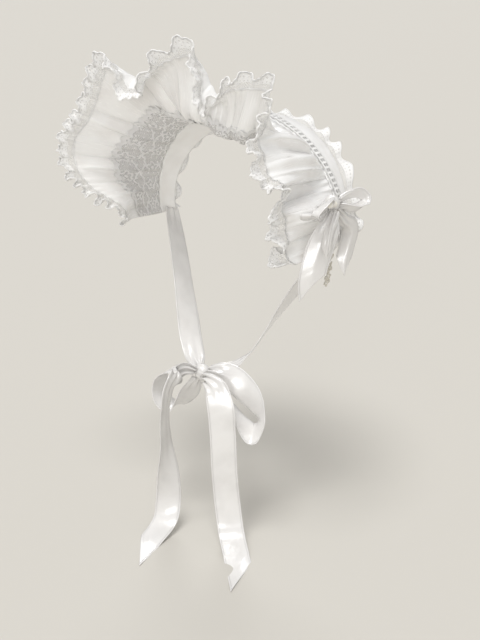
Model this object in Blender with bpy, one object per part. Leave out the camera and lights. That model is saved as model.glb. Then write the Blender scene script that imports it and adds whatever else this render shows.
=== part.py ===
"""Frill headdress: a satin half bonnet with a fluted brim, lace frills, a side bow and chin ribbons.

Metres, +Z up. The wearer faces -Y and the wearer's left is +X. The origin is the underside of the
base band at the middle of its front edge's arc, where the band sits on the crown of a dressed head.
Cloth pieces are thin sheets: a grid of points from a rule, given its wall by a Solidify modifier.
"""

import math

import bmesh
import bpy
import numpy as np

for old in list(bpy.data.objects):
    bpy.data.objects.remove(old, do_unlink=True)

# Walls and clearances
GAP = 0.0003                # between touching pieces
BASE_WALL = 0.0025          # stiffened satin band
BRIM_WALL = 0.0016          # two layers of satin
LACE_WALL = 0.0010          # lace, net and trim
RIBBON_WALL = 0.0010        # satin ribbon

# Base band: a strip of the egg shape around the dressed head
HEAD_HALF_WIDTH = 0.110     # outside of the band, ear to ear
HEAD_HALF_LENGTH = 0.134    # outside, forehead to back
CROWN_RISE = 0.1045         # band's outside above the egg's centre
ARC_END = 97.0              # degrees from the crown down to each end
SEAM_BACK = 0.005           # brim seam behind the crown point
SEAM_END_BACK = 0.014       # the same at the ears
BASE_WIDTH = 0.058          # front to back at the crown
BASE_END_WIDTH = 0.020      # front to back at the ends

# Brim and frills
BRIM_REACH = 0.095          # seam to satin edge, along the straight
FRILL_WIDTH = 0.015         # lace frill on the brim's edge
FRILL_LEAVE = 0.94          # share across the brim that sets the frill's way out
FRILL_GATHER = 0.015        # one gather along the brim's edge
FRILL_DEPTH = 0.0042        # gather, to each side
FACING_SHARE = 0.60         # lace facing's share of the reach
FACING_START = 0.17         # where it starts, as a share of the reach
SCALLOP_SHARE = 0.05        # scallops of the facing's edge
FACING_SCALLOPS = 26
BACK_FRILL_WIDTH = 0.014
BACK_FRILL_GATHER = 0.014
BACK_FRILL_DEPTH = 0.0040
BACK_FRILL_RISE = 32.0      # degrees up from the band
LADDER_WIDTH = 0.010        # ladder lace beside the seam

# Ribbons, bows and drop
CHIN_RIBBON = 0.025         # satin ribbon, wide
CHIN_SPAN = 0.100           # scale of the chin bow's table
TAIL_CUT = 0.042            # slant of the chin tails' ends
CHIN_KNOT = (0.008, -0.064, -0.240)
CHIN_KNOT_RADIUS = 0.0082
JAW_BULGE = 0.019           # how far the straps stand out round the jaw
JAW_WAY = (0.6, 0.4, -0.7)  # the way they stand out on the wearer's left
BOW_RIBBON = 0.024
BOW_SPAN = 0.100            # scale of the side bow's table
BOW_CUT = 0.026
BOW_KNOT = (0.1206, -0.022, -0.067)
BOW_KNOT_RADIUS = 0.0072
PEARL_RADIUS = 0.0028
DROP_WIDTH = 0.013
DROP_LENGTH = 0.040
DROP_SEWN = 0.06            # share of its length that lies on the brim
DROP_ALONG = 0.985          # where it is sewn on, as the fold table's along
DROP_ACROSS = 0.22
DROP_POINTS = 36
DROP_LOBES = 6
DROP_LOBE = 0.12            # depth of its lobes, as a share
DROP_HOLE = 0.0021          # radius of its holes
DROP_HOLES = (-0.28, 0.12, 0.52)

# Grid counts
BRIM_ALONG = 99
SPREAD_SHARE = 0.8          # share across where the brim's rows are even
BRIM_ACROSS = 5
FACING_ACROSS = 3
BASE_ALONG = 36
BASE_ACROSS = 4
GATHER_STEPS = 6

OFF_WHITE = (0.86, 0.85, 0.83, 1.0)
CREAM = (0.80, 0.76, 0.66, 1.0)

# Brim folds, from the wearer's right end over the crown to the left end. along: share of the arc.
# flare: degrees from straight out to straight forward. reach: share of BRIM_REACH. sweep: degrees
# along the arc. root, belly: degrees and pull, as a share of BRIM_REACH, with which the cloth leaves
# the seam. tip, lip: the same for how it arrives at its edge; past 90 degrees it flops over forward.
FOLD_COLUMNS = ("along", "flare", "reach", "sweep", "root", "belly", "tip", "lip")
BRIM_FOLDS = (
    (-1.000, 104, 0.72, 4, 86, 0.28, 120, 0.25),
    (-0.887, 102, 0.84, 5, 84, 0.32, 112, 0.28),
    (-0.794, 84, 0.98, 4, 82, 0.34, 84, 0.30),
    (-0.711, 75, 1.05, 1, 80, 0.36, 70, 0.32),
    (-0.619, 67, 1.07, 0, 82, 0.36, 56, 0.32),
    (-0.495, 64, 1.00, -3, 90, 0.36, 58, 0.30),
    (-0.412, 58, 1.00, -2, 84, 0.36, 48, 0.30),
    (-0.360, 53, 1.10, 8, 80, 0.40, 46, 0.30),
    (-0.310, 58, 1.02, 5, 92, 0.54, 84, 0.42),
    (-0.260, 66, 0.92, -2, 110, 0.67, 132, 0.56),
    (-0.196, 68, 0.93, 0, 109, 0.81, 130, 0.58),
    (-0.145, 59, 0.95, 6, 105, 0.98, 88, 0.40),
    (-0.093, 55, 0.95, 11, 104, 1.07, 56, 0.32),
    (-0.041, 55, 0.93, 12, 104, 1.17, 54, 0.34),
    (0.000, 60, 0.85, 8, 106, 1.20, 78, 0.40),
    (0.035, 70, 0.80, 4, 110, 1.22, 116, 0.52),
    (0.070, 77, 0.79, 0, 113, 1.27, 132, 0.68),
    (0.105, 81, 0.75, 0, 113, 1.25, 124, 0.60),
    (0.135, 74, 0.77, 0, 113, 1.17, 92, 0.46),
    (0.170, 67, 0.81, 0, 114, 1.01, 56, 0.38),
    (0.220, 63, 0.86, 0, 115, 0.88, 36, 0.40),
    (0.300, 58, 0.93, -2, 107, 0.82, 20, 0.46),
    (0.371, 58, 1.00, -3, 98, 0.50, 34, 0.38),
    (0.412, 69, 1.00, 0, 66, 0.36, 66, 0.32),
    (0.455, 77, 1.00, -4, 50, 0.38, 96, 0.34),
    (0.500, 79, 1.00, -3, 70, 0.34, 90, 0.30),
    (0.540, 82, 0.99, -2, 48, 0.40, 112, 0.34),
    (0.580, 84, 0.98, -1, 64, 0.34, 104, 0.32),
    (0.619, 80, 0.95, 0, 80, 0.34, 84, 0.30),
    (0.655, 83, 0.92, -2, 94, 0.36, 56, 0.30),
    (0.691, 86, 0.93, 0, 96, 0.38, 50, 0.32),
    (0.732, 87, 0.94, 0, 78, 0.34, 80, 0.30),
    (0.775, 89, 0.88, -2, 66, 0.36, 112, 0.30),
    (0.820, 92, 0.86, 1, 72, 0.34, 108, 0.30),
    (0.860, 90, 0.88, 2, 84, 0.30, 84, 0.28),
    (0.907, 95, 0.84, 2, 78, 0.30, 108, 0.28),
    (0.950, 92, 0.84, 4, 76, 0.30, 100, 0.26),
    (1.000, 88, 0.80, 0, 78, 0.28, 92, 0.25),
)
# Where the lace facing ends, as a share of the reach: short over the front fold
FACING_END_COLUMNS = ("along", "share")
FACING_ENDS = (
    (-1.000, 0.60),
    (-0.460, 0.60),
    (-0.340, 0.54),
    (-0.100, 0.46),
    (0.100, 0.46),
    (0.300, 0.56),
    (0.430, 0.50),
    (0.600, 0.60),
    (1.000, 0.60),
)

# Ribbons. x, y, z: the middle line from the knot, as shares of the span. across x, y, z: the way
# the ribbon's width points. width: share of the ribbon's width, narrow where it enters the knot.
RIBBON_COLUMNS = ("x", "y", "z", "across_x", "across_y", "across_z", "width")
CHIN_LOOP_LEFT = (
    (0.078, -0.010, 0.030, 0.2, 0.6, 0.5, 0.34),
    (0.16, -0.02, 0.05, 0.4, 0.6, 0.7, 0.66),
    (0.27, 0.02, 0.03, 0.6, 0.6, 0.6, 0.95),
    (0.45, 0.06, -0.08, 0.6, 0.4, 0.7, 1.00),
    (0.58, 0.08, -0.24, 0.8, -0.2, 0.5, 1.00),
    (0.64, 0.07, -0.40, 0.7, -0.7, 0.0, 1.00),
    (0.59, 0.03, -0.50, 0.4, -0.8, -0.5, 1.00),
    (0.46, 0.00, -0.40, 0.2, -1.0, 0.1, 1.00),
    (0.30, -0.01, -0.22, 0.1, -0.8, 0.6, 0.88),
    (0.17, -0.02, -0.11, 0.1, -0.5, 0.8, 0.54),
    (0.082, -0.010, -0.046, 0.2, -0.4, 0.8, 0.30),
)
CHIN_LOOP_RIGHT = (
    (-0.081, -0.026, 0.008, 0.1, 0.9, 0.3, 0.30),
    (-0.21, -0.08, 0.00, -0.1, 1.0, 0.1, 0.66),
    (-0.36, -0.06, -0.04, -0.1, 1.0, 0.0, 0.92),
    (-0.46, -0.06, -0.12, -0.1, 1.0, 0.0, 1.00),
    (-0.48, -0.09, -0.25, -0.1, 1.0, 0.0, 1.00),
    (-0.42, -0.10, -0.38, -0.1, 1.0, 0.0, 1.00),
    (-0.33, -0.07, -0.43, 0.0, 1.0, 0.0, 1.00),
    (-0.23, -0.01, -0.35, 0.3, 0.9, 0.0, 1.00),
    (-0.15, 0.01, -0.21, 0.4, 0.8, 0.1, 0.90),
    (-0.076, 0.005, -0.070, 0.4, 0.8, 0.2, 0.34),
)
CHIN_TAIL_RIGHT = (
    (-0.036, -0.066, 0.030, 0.5, 0.1, 0.8, 0.30),
    (-0.08, -0.20, 0.07, 0.1, 0.7, 0.7, 0.60),
    (-0.08, -0.38, 0.00, -0.1, 1.0, 0.0, 0.86),
    (-0.11, -0.43, -0.23, -0.3, 0.9, 0.0, 0.96),
    (-0.14, -0.41, -0.65, -0.2, 0.9, 0.0, 0.96),
    (-0.15, -0.38, -1.00, 0.3, 0.9, 0.0, 1.00),
    (-0.16, -0.37, -1.26, 0.7, 0.7, 0.0, 1.00),
    (-0.15, -0.44, -1.47, 0.9, 0.3, 0.0, 1.00),
    (-0.14, -0.66, -1.575, 1.0, 0.1, 0.0, 1.00),
    (-0.07, -1.08, -1.58, 1.0, 0.2, 0.0, 1.00),
)
CHIN_TAIL_LEFT = (
    (0.062, -0.074, -0.034, -0.3, 0.2, 0.9, 0.30),
    (0.18, -0.17, 0.03, 0.1, 0.3, 0.9, 0.50),
    (0.31, -0.20, -0.02, 0.7, 0.5, 0.5, 0.86),
    (0.37, -0.22, -0.14, 0.9, 0.5, 0.1, 1.00),
    (0.41, -0.23, -0.43, 0.9, 0.5, 0.0, 1.00),
    (0.43, -0.23, -0.85, 0.9, 0.5, 0.0, 1.00),
    (0.46, -0.22, -1.22, 0.8, 0.6, 0.0, 1.00),
    (0.52, -0.25, -1.45, 0.8, 0.6, 0.0, 1.00),
    (0.69, -0.40, -1.57, 0.7, 0.7, 0.0, 1.00),
    (1.07, -0.79, -1.58, 0.7, 0.7, 0.0, 1.00),
)
BOW_LOOP_BACK = (
    (0.033, 0.058, 0.018, 0.6, -0.1, 0.8, 0.35),
    (0.085, 0.15, 0.035, 0.7, -0.36, 0.6, 0.65),
    (0.13, 0.23, 0.025, 0.7, -0.36, 0.6, 0.80),
    (0.150, 0.265, 0.00, 0.7, -0.36, 0.5, 0.70),
    (0.120, 0.225, -0.025, 0.7, -0.36, 0.5, 0.80),
    (0.07, 0.145, -0.032, 0.7, -0.3, 0.6, 0.65),
    (0.022, 0.078, -0.030, 0.6, -0.1, 0.7, 0.30),
)
BOW_LOOP_FRONT = (
    (0.035, -0.062, 0.020, 0.1, 0.2, 1.0, 0.35),
    (0.08, -0.22, 0.055, 0.5, 0.0, 0.8, 0.65),
    (0.10, -0.40, 0.04, 0.6, -0.05, 0.7, 0.80),
    (0.095, -0.49, 0.00, 0.6, -0.05, 0.7, 0.80),
    (0.06, -0.40, -0.04, 0.6, 0.0, 0.7, 0.80),
    (0.015, -0.22, -0.045, 0.3, 0.1, 0.8, 0.60),
    (-0.020, -0.070, -0.012, -0.1, 0.1, 1.0, 0.35),
)
BOW_TAIL_FRONT = (
    (0.024, -0.022, -0.074, 0.7, 0.6, 0.1, 0.35),
    (0.05, -0.13, -0.19, 0.7, 0.6, 0.2, 0.80),
    (0.03, -0.22, -0.35, 0.7, 0.6, 0.2, 1.00),
    (0.01, -0.28, -0.53, 0.7, 0.6, 0.2, 1.00),
    (0.00, -0.30, -0.68, 0.7, 0.6, 0.2, 1.00),
    (0.01, -0.29, -0.81, 0.7, 0.6, 0.2, 1.00),
)
BOW_TAIL_MIDDLE = (
    (0.062, -0.046, -0.058, 0.6, 0.7, 0.1, 0.35),
    (0.105, -0.19, -0.17, 0.6, 0.6, 0.1, 0.60),
    (0.115, -0.24, -0.30, 0.6, 0.6, 0.1, 0.60),
    (0.10, -0.24, -0.42, 0.6, 0.6, 0.1, 0.50),
)
BOW_TAIL_BACK = (
    (0.012, 0.048, -0.066, 0.5, 0.2, 0.6, 0.30),
    (0.04, 0.16, -0.19, 0.6, 0.5, 0.5, 0.60),
    (0.06, 0.26, -0.28, 0.7, 0.6, 0.3, 0.80),
    (0.05, 0.25, -0.42, 0.6, 0.7, 0.2, 0.80),
    (0.035, 0.21, -0.58, 0.5, 0.8, 0.2, 0.75),
    (0.03, 0.20, -0.70, 0.5, 0.8, 0.2, 0.60),
)
# Chin strap's bulge beside the straight way from the band's end to the knot, share by share
STRAP_COLUMNS = ("along", "bulge", "across_x", "across_y", "across_z", "width")
CHIN_STRAP = (
    (0.00, 0.00, 0.0, 1.0, 0.0, 0.70),
    (0.20, 0.12, 0.0, 1.0, -0.2, 1.00),
    (0.45, 0.46, -0.2, 0.9, -0.3, 1.00),
    (0.62, 0.78, -0.4, 0.8, -0.3, 1.00),
    (0.78, 1.00, -0.5, 0.8, -0.2, 0.95),
    (0.90, 0.74, -0.6, 0.7, 0.2, 0.70),
    (0.96, 0.24, -0.4, 0.5, 0.6, 0.34),
)


def columns(names, rows):
    """Turn a table's rows into one array per named column."""
    return dict(zip(names, np.array(rows, dtype=float).T))


def smooth(stations, values, at):
    """Pass a smooth curve (cubic Hermite, slopes from the neighbours) through the values."""
    slopes = np.gradient(values, stations, axis=0)
    at = np.clip(at, stations[0], stations[-1])
    i = np.clip(np.searchsorted(stations, at, side="right") - 1, 0, len(stations) - 2)
    span = stations[i + 1] - stations[i]
    t = (at - stations[i]) / span
    if values.ndim > 1:
        span, t = span[:, None], t[:, None]
    start = (1 + 2 * t) * (1 - t) ** 2 * values[i] + t * (1 - t) ** 2 * span * slopes[i]
    end = t * t * (3 - 2 * t) * values[i + 1] - t * t * (1 - t) * span * slopes[i + 1]
    return start + end


def unit(vectors):
    return vectors / np.linalg.norm(vectors, axis=-1, keepdims=True)


def seam_y(along):
    """Front edge of the band: it slopes back from the crown to the ears."""
    theta = np.radians(ARC_END * along)
    return SEAM_BACK + (SEAM_END_BACK - SEAM_BACK) * (1 - np.cos(theta))


def band_width(along):
    return BASE_END_WIDTH + (BASE_WIDTH - BASE_END_WIDTH) * np.cos(np.radians(90 * along)) ** 2


def egg(along, y, lift=0.0):
    """Point on the band's outside at a share of the arc, lifted off it by a clearance."""
    theta = np.radians(ARC_END * along)
    side, length, rise = HEAD_HALF_WIDTH + lift, HEAD_HALF_LENGTH + lift, CROWN_RISE + lift
    ring = np.sqrt(1 - (y / length) ** 2)
    centre = BASE_WALL - CROWN_RISE
    return np.stack([side * ring * np.sin(theta), y + 0 * theta, centre + rise * ring * np.cos(theta)], -1)


def seam_frame(along):
    """Out, forward and along directions where the brim leaves the band."""
    theta = np.radians(ARC_END * along)
    out = unit(np.stack([np.sin(theta) / HEAD_HALF_WIDTH, 0 * theta, np.cos(theta) / CROWN_RISE], -1))
    forward = np.broadcast_to((0.0, -1.0, 0.0), out.shape)
    sideways = np.cross(out, forward)
    turned = sideways[..., 0] * np.cos(theta) - sideways[..., 2] * np.sin(theta)
    sideways *= np.sign(turned)[..., None]
    return out, forward, sideways


def brim(along, across):
    """Brim surface: a curved fall from the seam (across 0) to the fold table's edge (across 1)."""
    fold = columns(FOLD_COLUMNS, BRIM_FOLDS)
    flare, reach, sweep, root, belly, tip, lip = (
        smooth(fold["along"], fold[name], along)[..., None] for name in FOLD_COLUMNS[1:])
    flare, sweep, root, tip = (np.radians(angle) for angle in (flare, sweep, root, tip))
    out, forward, sideways = seam_frame(along)
    lean = np.abs(np.cos(root))[..., 0] * BRIM_WALL / 2
    start = egg(along, seam_y(along) - GAP - lean, -BASE_WALL / 2)
    edge_way = np.cos(sweep) * (np.cos(flare) * out + np.sin(flare) * forward) + np.sin(sweep) * sideways
    edge = start + BRIM_REACH * reach * edge_way
    leave = start + BRIM_REACH * belly * (np.cos(root) * out + np.sin(root) * forward)
    arrive = edge - BRIM_REACH * lip * (np.cos(tip) * out + np.sin(tip) * forward)
    v = np.asarray(across, dtype=float)[..., None]
    w = 1 - v
    return w ** 3 * start + 3 * v * w * w * leave + 3 * v * v * w * arrive + v ** 3 * edge


def brim_facet(along, across):
    """Point on the built brim, which is straight between its rows of points."""
    row = np.clip(np.floor(across * BRIM_ACROSS), 0, BRIM_ACROSS - 1)
    share = (across * BRIM_ACROSS - row)[..., None]
    return (1 - share) * brim(along, row / BRIM_ACROSS) + share * brim(along, (row + 1) / BRIM_ACROSS)


def brim_normal(along, across, step=0.004):
    """The side of the brim that faces up and back."""
    low, high = np.clip(along - step, -1, 1), np.clip(along + step, -1, 1)
    sideways = brim_facet(high, across) - brim_facet(low, across)
    outward = brim_facet(along, across + step) - brim_facet(along, across - step)
    return unit(np.cross(outward, sideways))


def even_stations(points, count, fine):
    """Parameter values that split a curve into equal lengths."""
    length = np.concatenate([[0], np.cumsum(np.linalg.norm(np.diff(points, axis=0), axis=1))])
    return np.interp(np.linspace(0, length[-1], count), length, fine), length[-1]


def cloth_material(name, colour, roughness):
    material = bpy.data.materials.new(name)
    material.use_nodes = True
    shader = material.node_tree.nodes["Principled BSDF"]
    shader.inputs["Base Color"].default_value = colour
    shader.inputs["Roughness"].default_value = roughness
    shader.inputs["Metallic"].default_value = 0.0
    return material


def new_object(name, mesh, colour=OFF_WHITE, roughness=0.5):
    mesh.shade_smooth()
    thing = bpy.data.objects.new(name, mesh)
    thing.data.materials.append(cloth_material(name, colour, roughness))
    bpy.context.scene.collection.objects.link(thing)
    return thing


def sheet(name, grid, wall, colour=OFF_WHITE, roughness=0.5, side=0.0):
    """A closed cloth solid from a grid of points: triangles, then a Solidify wall round them."""
    rows, cols = grid.shape[:2]
    work = bmesh.new()
    verts = [work.verts.new(point) for point in grid.reshape(-1, 3)]
    for i in range(rows - 1):
        for j in range(cols - 1):
            a = i * cols + j
            work.faces.new((verts[a], verts[a + cols], verts[a + cols + 1]))
            work.faces.new((verts[a], verts[a + cols + 1], verts[a + 1]))
    mesh = bpy.data.meshes.new(name)
    work.to_mesh(mesh)
    work.free()
    thing = new_object(name, mesh, colour, roughness)
    wall_up = thing.modifiers.new("wall", "SOLIDIFY")
    wall_up.thickness = wall
    wall_up.offset = side
    wall_up.use_even_offset = False
    return thing


def base_band():
    """The satin band that carries everything; its arch is the head opening."""
    along = np.linspace(-1, 1, BASE_ALONG + 1)[:, None]
    back = np.linspace(0, 1, BASE_ACROSS + 1)[None, :]
    y = seam_y(along) + band_width(along) * back
    grid = egg(along + 0 * back, y, -BASE_WALL / 2)
    return sheet("base_band", grid, BASE_WALL)


def ladder_lace():
    """The trim that lies on the band beside the brim's seam."""
    along = np.linspace(-1, 1, BASE_ALONG + 1)[:, None]
    back = np.array([[0.0, 1.0]])
    y = seam_y(along) + LACE_WALL + LADDER_WIDTH * back
    lift = GAP + LACE_WALL / 2 + egg_sag()
    return sheet("ladder_lace", egg(along + 0 * back, y, lift), LACE_WALL)


def egg_sag():
    """How far a flat facet of the band lies below its round shape, so that trim clears it."""
    half_facet = np.radians(ARC_END) / BASE_ALONG
    return HEAD_HALF_WIDTH * (1 - math.cos(half_facet))


def brim_grid(across):
    fine = np.linspace(-1, 1, 801)
    along, _ = even_stations(brim(fine, 0 * fine + SPREAD_SHARE), BRIM_ALONG + 1, fine)
    along, across = np.meshgrid(along, across, indexing="ij")
    return along, across


def brim_sheet():
    along, across = brim_grid(np.linspace(0, 1, BRIM_ACROSS + 1))
    return sheet("brim", brim(along, across), BRIM_WALL)


def lace_facing():
    """Lace on the brim's inner face, from near the seam to a scalloped edge."""
    inner = np.linspace(0.0, 1.0, FACING_ACROSS + 1) * FACING_SHARE
    inner[0] = FACING_START
    along, across = brim_grid(inner)
    ends = columns(FACING_END_COLUMNS, FACING_ENDS)
    dip = SCALLOP_SHARE * (1 - np.abs(np.sin(np.pi * FACING_SCALLOPS * (along + 1) / 2)))
    edge = np.interp(along, ends["along"], ends["share"]) - dip
    across = np.where(across == inner[-1], edge, across)
    clear = BRIM_WALL / 2 + LACE_WALL / 2 + GAP * 3
    return sheet("lace_facing", brim_facet(along, across) - clear * brim_normal(along, across), LACE_WALL)


def gathered(edge, way, face, width, gather, depth, gap):
    """A gathered strip that leaves an edge curve: flat where it is sewn, waved at its free edge."""
    length = np.linalg.norm(np.diff(edge, axis=0), axis=1)
    phase = 2 * np.pi * np.concatenate([[0], np.cumsum(length)]) / gather
    wave = np.sin(phase)[:, None] * depth
    start = edge + way * gap
    end = start + way * width + face * wave
    return np.stack([start, end], axis=1)


def brim_frill():
    fine = np.linspace(-1, 1, 801)
    _, length = even_stations(brim(fine, 1 + 0 * fine), 2, fine)
    count = int(round(length / FRILL_GATHER)) * GATHER_STEPS
    along, _ = even_stations(brim(fine, 1 + 0 * fine), count + 1, fine)
    edge = brim(along, 1 + 0 * along)
    way = unit(edge - brim(along, FRILL_LEAVE + 0 * along))
    face = brim_normal(along, 1 + 0 * along)
    gap = LACE_WALL + GAP
    grid = gathered(edge, way, face, FRILL_WIDTH - gap, length / count * GATHER_STEPS, FRILL_DEPTH, gap)
    return sheet("brim_frill", grid, LACE_WALL, roughness=0.7)


def back_frill():
    fine = np.linspace(-1, 1, 401)
    rear = egg(fine, seam_y(fine) + band_width(fine), -BASE_WALL / 2)
    _, length = even_stations(rear, 2, fine)
    count = int(round(length / BACK_FRILL_GATHER)) * GATHER_STEPS
    along, _ = even_stations(rear, count + 1, fine)
    y = seam_y(along) + band_width(along)
    edge = egg(along, y, -BASE_WALL / 2)
    flat_way = unit(edge - egg(along, y - LADDER_WIDTH, -BASE_WALL / 2))
    out = seam_frame(along)[0]
    face = unit(out - np.sum(out * flat_way, axis=-1, keepdims=True) * flat_way)
    rise = math.radians(BACK_FRILL_RISE)
    way = math.cos(rise) * flat_way + math.sin(rise) * face
    face = math.cos(rise) * face - math.sin(rise) * flat_way
    gap = LACE_WALL + GAP
    depth = BACK_FRILL_DEPTH
    grid = gathered(edge, way, face, BACK_FRILL_WIDTH, length / count * GATHER_STEPS, depth, gap)
    return sheet("back_frill", grid, LACE_WALL, roughness=0.7)


def ribbon_grid(middle, across, width, steps, pieces=2, cut=0.0):
    """Points of a ribbon: smooth middle line, its width square to it, its end cut on the slant.

    cut is how much shorter one side is: the first side where it is positive, else the last.
    """
    bends = np.concatenate([[0], np.cumsum(np.linalg.norm(np.diff(middle, axis=0), axis=1))])
    sides = []
    for side in np.linspace(-1, 1, pieces + 1):
        shorter = abs(cut) * (1 - side * np.sign(cut)) / 2
        at = np.linspace(0, bends[-1] - shorter, steps + 1)
        line = smooth(bends, middle, at)
        way = unit(np.gradient(line, axis=0))
        wide = smooth(bends, unit(across), at)
        wide = unit(wide - np.sum(wide * way, axis=1, keepdims=True) * way)
        sides.append(line + wide * smooth(bends, width, at)[:, None] / 2 * side)
    return np.stack(sides, axis=1)


def ribbon_points(knot, rows, span, width, steps, cut=0.0, pieces=2):
    c = columns(RIBBON_COLUMNS, rows)
    middle = np.array(knot) + span * np.stack([c["x"], c["y"], c["z"]], axis=1)
    across = np.stack([c["across_x"], c["across_y"], c["across_z"]], axis=1)
    return ribbon_grid(middle, across, width * c["width"], steps, pieces, cut)


def ribbon(name, *table, **cut):
    return sheet(name, ribbon_points(*table, **cut), RIBBON_WALL, roughness=0.3)


def strap(name, mirror):
    """Chin strap: from inside the band's end, round the cheek, to the knot under the chin."""
    c = columns(STRAP_COLUMNS, CHIN_STRAP)
    end = np.array([[float(mirror)]])
    y = seam_y(end) + CHIN_RIBBON * 0.5
    top = egg(end, y, -BASE_WALL - GAP * 2 - RIBBON_WALL)[0, 0] + np.array([0.0, 0.0, BASE_WALL])
    knot = np.array(CHIN_KNOT)
    along = c["along"][:, None]
    bulge_way = unit(np.array(JAW_WAY)) * (mirror, 1, 1)
    middle = top + (knot - top) * along + JAW_BULGE * c["bulge"][:, None] * bulge_way
    across = np.stack([mirror * c["across_x"], c["across_y"], c["across_z"]], axis=1)
    grid = ribbon_grid(middle, across, CHIN_RIBBON * c["width"], 20, 1)
    return sheet(name, grid, RIBBON_WALL, roughness=0.3)


def knot(name, centre, radius, stretch):
    """A bow's tight knot: a rounded pillow a little longer one way."""
    work = bmesh.new()
    bmesh.ops.create_uvsphere(work, u_segments=12, v_segments=8, radius=radius)
    bmesh.ops.scale(work, vec=stretch, verts=work.verts)
    bmesh.ops.translate(work, vec=centre, verts=work.verts)
    mesh = bpy.data.meshes.new(name)
    work.to_mesh(mesh)
    work.free()
    return new_object(name, mesh, roughness=0.3)


def pearl(name, centre):
    work = bmesh.new()
    bmesh.ops.create_icosphere(work, subdivisions=2, radius=PEARL_RADIUS)
    bmesh.ops.translate(work, vec=centre, verts=work.verts)
    mesh = bpy.data.meshes.new(name)
    work.to_mesh(mesh)
    work.free()
    return new_object(name, mesh, roughness=0.2)


def pearl_on_loop(name, grid, share):
    """A pearl seated on the outer face of a bow loop, at a share of its length."""
    i = int(round(share * (len(grid) - 1)))
    middle = grid.shape[1] // 2
    along = unit(grid[i + 1, middle] - grid[i - 1, middle])
    across = unit(grid[i, -1] - grid[i, 0])
    face = np.cross(along, across)
    face *= np.sign(face[0])
    return pearl(name, grid[i, middle] + face * (RIBBON_WALL / 2 + GAP + PEARL_RADIUS))


def lace_drop():
    """A thick lace pendant with round holes, sewn to the brim's last corner and hanging below it."""
    along, across = np.array([DROP_ALONG]), np.array([DROP_ACROSS])
    face = brim_normal(along, across)[0]
    seat = brim_facet(along, across)[0] + face * (BRIM_WALL / 2 + LACE_WALL / 2 + GAP)
    down = unit(np.array([0.0, 0.0, -1.0]) + face * face[2])
    side = np.cross(face, down)
    turn = np.linspace(0, 2 * np.pi, DROP_POINTS, endpoint=False)
    lobes = 1 + DROP_LOBE * np.cos(DROP_LOBES * turn)
    centre = seat + down * DROP_LENGTH * (0.5 - DROP_SEWN)
    half_wide, half_long = DROP_WIDTH / 2 * lobes * np.sin(turn), DROP_LENGTH / 2 * lobes * np.cos(turn)
    rim = centre + half_wide[:, None] * side + half_long[:, None] * down
    plate = prism("lace_drop", rim, face, LACE_WALL, CREAM)
    for number, share in enumerate(DROP_HOLES):
        middle = centre + down * DROP_LENGTH / 2 * share
        ring = np.linspace(0, 2 * np.pi, 8, endpoint=False)[:, None]
        hole_rim = middle + DROP_HOLE * (np.cos(ring) * side + np.sin(ring) * down)
        cutter = prism(f"drop_hole_{number}", hole_rim, face, LACE_WALL * 3, CREAM)
        cutter.hide_render = True
        cutter.display_type = "WIRE"
        cut = plate.modifiers.new(f"hole {number}", "BOOLEAN")
        cut.object = cutter
        cut.solver = "EXACT"


def prism(name, rim, face, wall, colour):
    """A flat plate: the rim's outline drawn out by the wall, half to each side."""
    work = bmesh.new()
    verts = [work.verts.new(point - face * wall / 2) for point in rim]
    floor = work.faces.new(verts)
    drawn = bmesh.ops.extrude_face_region(work, geom=[floor])
    tops = [part for part in drawn["geom"] if isinstance(part, bmesh.types.BMVert)]
    bmesh.ops.translate(work, vec=face * wall, verts=tops)
    bmesh.ops.recalc_face_normals(work, faces=work.faces)
    mesh = bpy.data.meshes.new(name)
    work.to_mesh(mesh)
    work.free()
    return new_object(name, mesh, colour, 0.8)


base_band()
ladder_lace()
brim_sheet()
lace_facing()
brim_frill()
back_frill()

strap("chin_strap_left", 1)
strap("chin_strap_right", -1)
knot("chin_knot", CHIN_KNOT, CHIN_KNOT_RADIUS, (1.0, 0.9, 1.0))
ribbon("chin_loop_left", CHIN_KNOT, CHIN_LOOP_LEFT, CHIN_SPAN, CHIN_RIBBON, 26)
ribbon("chin_loop_right", CHIN_KNOT, CHIN_LOOP_RIGHT, CHIN_SPAN, CHIN_RIBBON, 24)
ribbon("chin_tail_right", CHIN_KNOT, CHIN_TAIL_RIGHT, CHIN_SPAN, CHIN_RIBBON, 26, cut=TAIL_CUT)
ribbon("chin_tail_left", CHIN_KNOT, CHIN_TAIL_LEFT, CHIN_SPAN, CHIN_RIBBON, 26, cut=-TAIL_CUT)

knot("bow_knot", BOW_KNOT, BOW_KNOT_RADIUS, (1.0, 0.85, 1.0))
front_loop = ribbon_points(BOW_KNOT, BOW_LOOP_FRONT, BOW_SPAN, BOW_RIBBON, 16)
back_loop = ribbon_points(BOW_KNOT, BOW_LOOP_BACK, BOW_SPAN, BOW_RIBBON, 16)
sheet("bow_loop_front", front_loop, RIBBON_WALL, roughness=0.3)
sheet("bow_loop_back", back_loop, RIBBON_WALL, roughness=0.3)
ribbon("bow_tail_front", BOW_KNOT, BOW_TAIL_FRONT, BOW_SPAN, BOW_RIBBON, 12, cut=-BOW_CUT)
ribbon("bow_tail_middle", BOW_KNOT, BOW_TAIL_MIDDLE, BOW_SPAN, BOW_RIBBON, 10, cut=-BOW_CUT)
ribbon("bow_tail_back", BOW_KNOT, BOW_TAIL_BACK, BOW_SPAN, BOW_RIBBON, 12)
pearl_on_loop("pearl_front", front_loop, 0.20)
pearl_on_loop("pearl_back", front_loop, 0.07)
lace_drop()
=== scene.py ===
"""Frill headdress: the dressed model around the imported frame.

Metres, +Z up, the wearer faces -Y and the wearer's left is +X. Cloth is a grid of points worked out
with numpy from the same named sizes and tables as the solids, with finer folds, gathers and edges.
"""

import math

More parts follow.
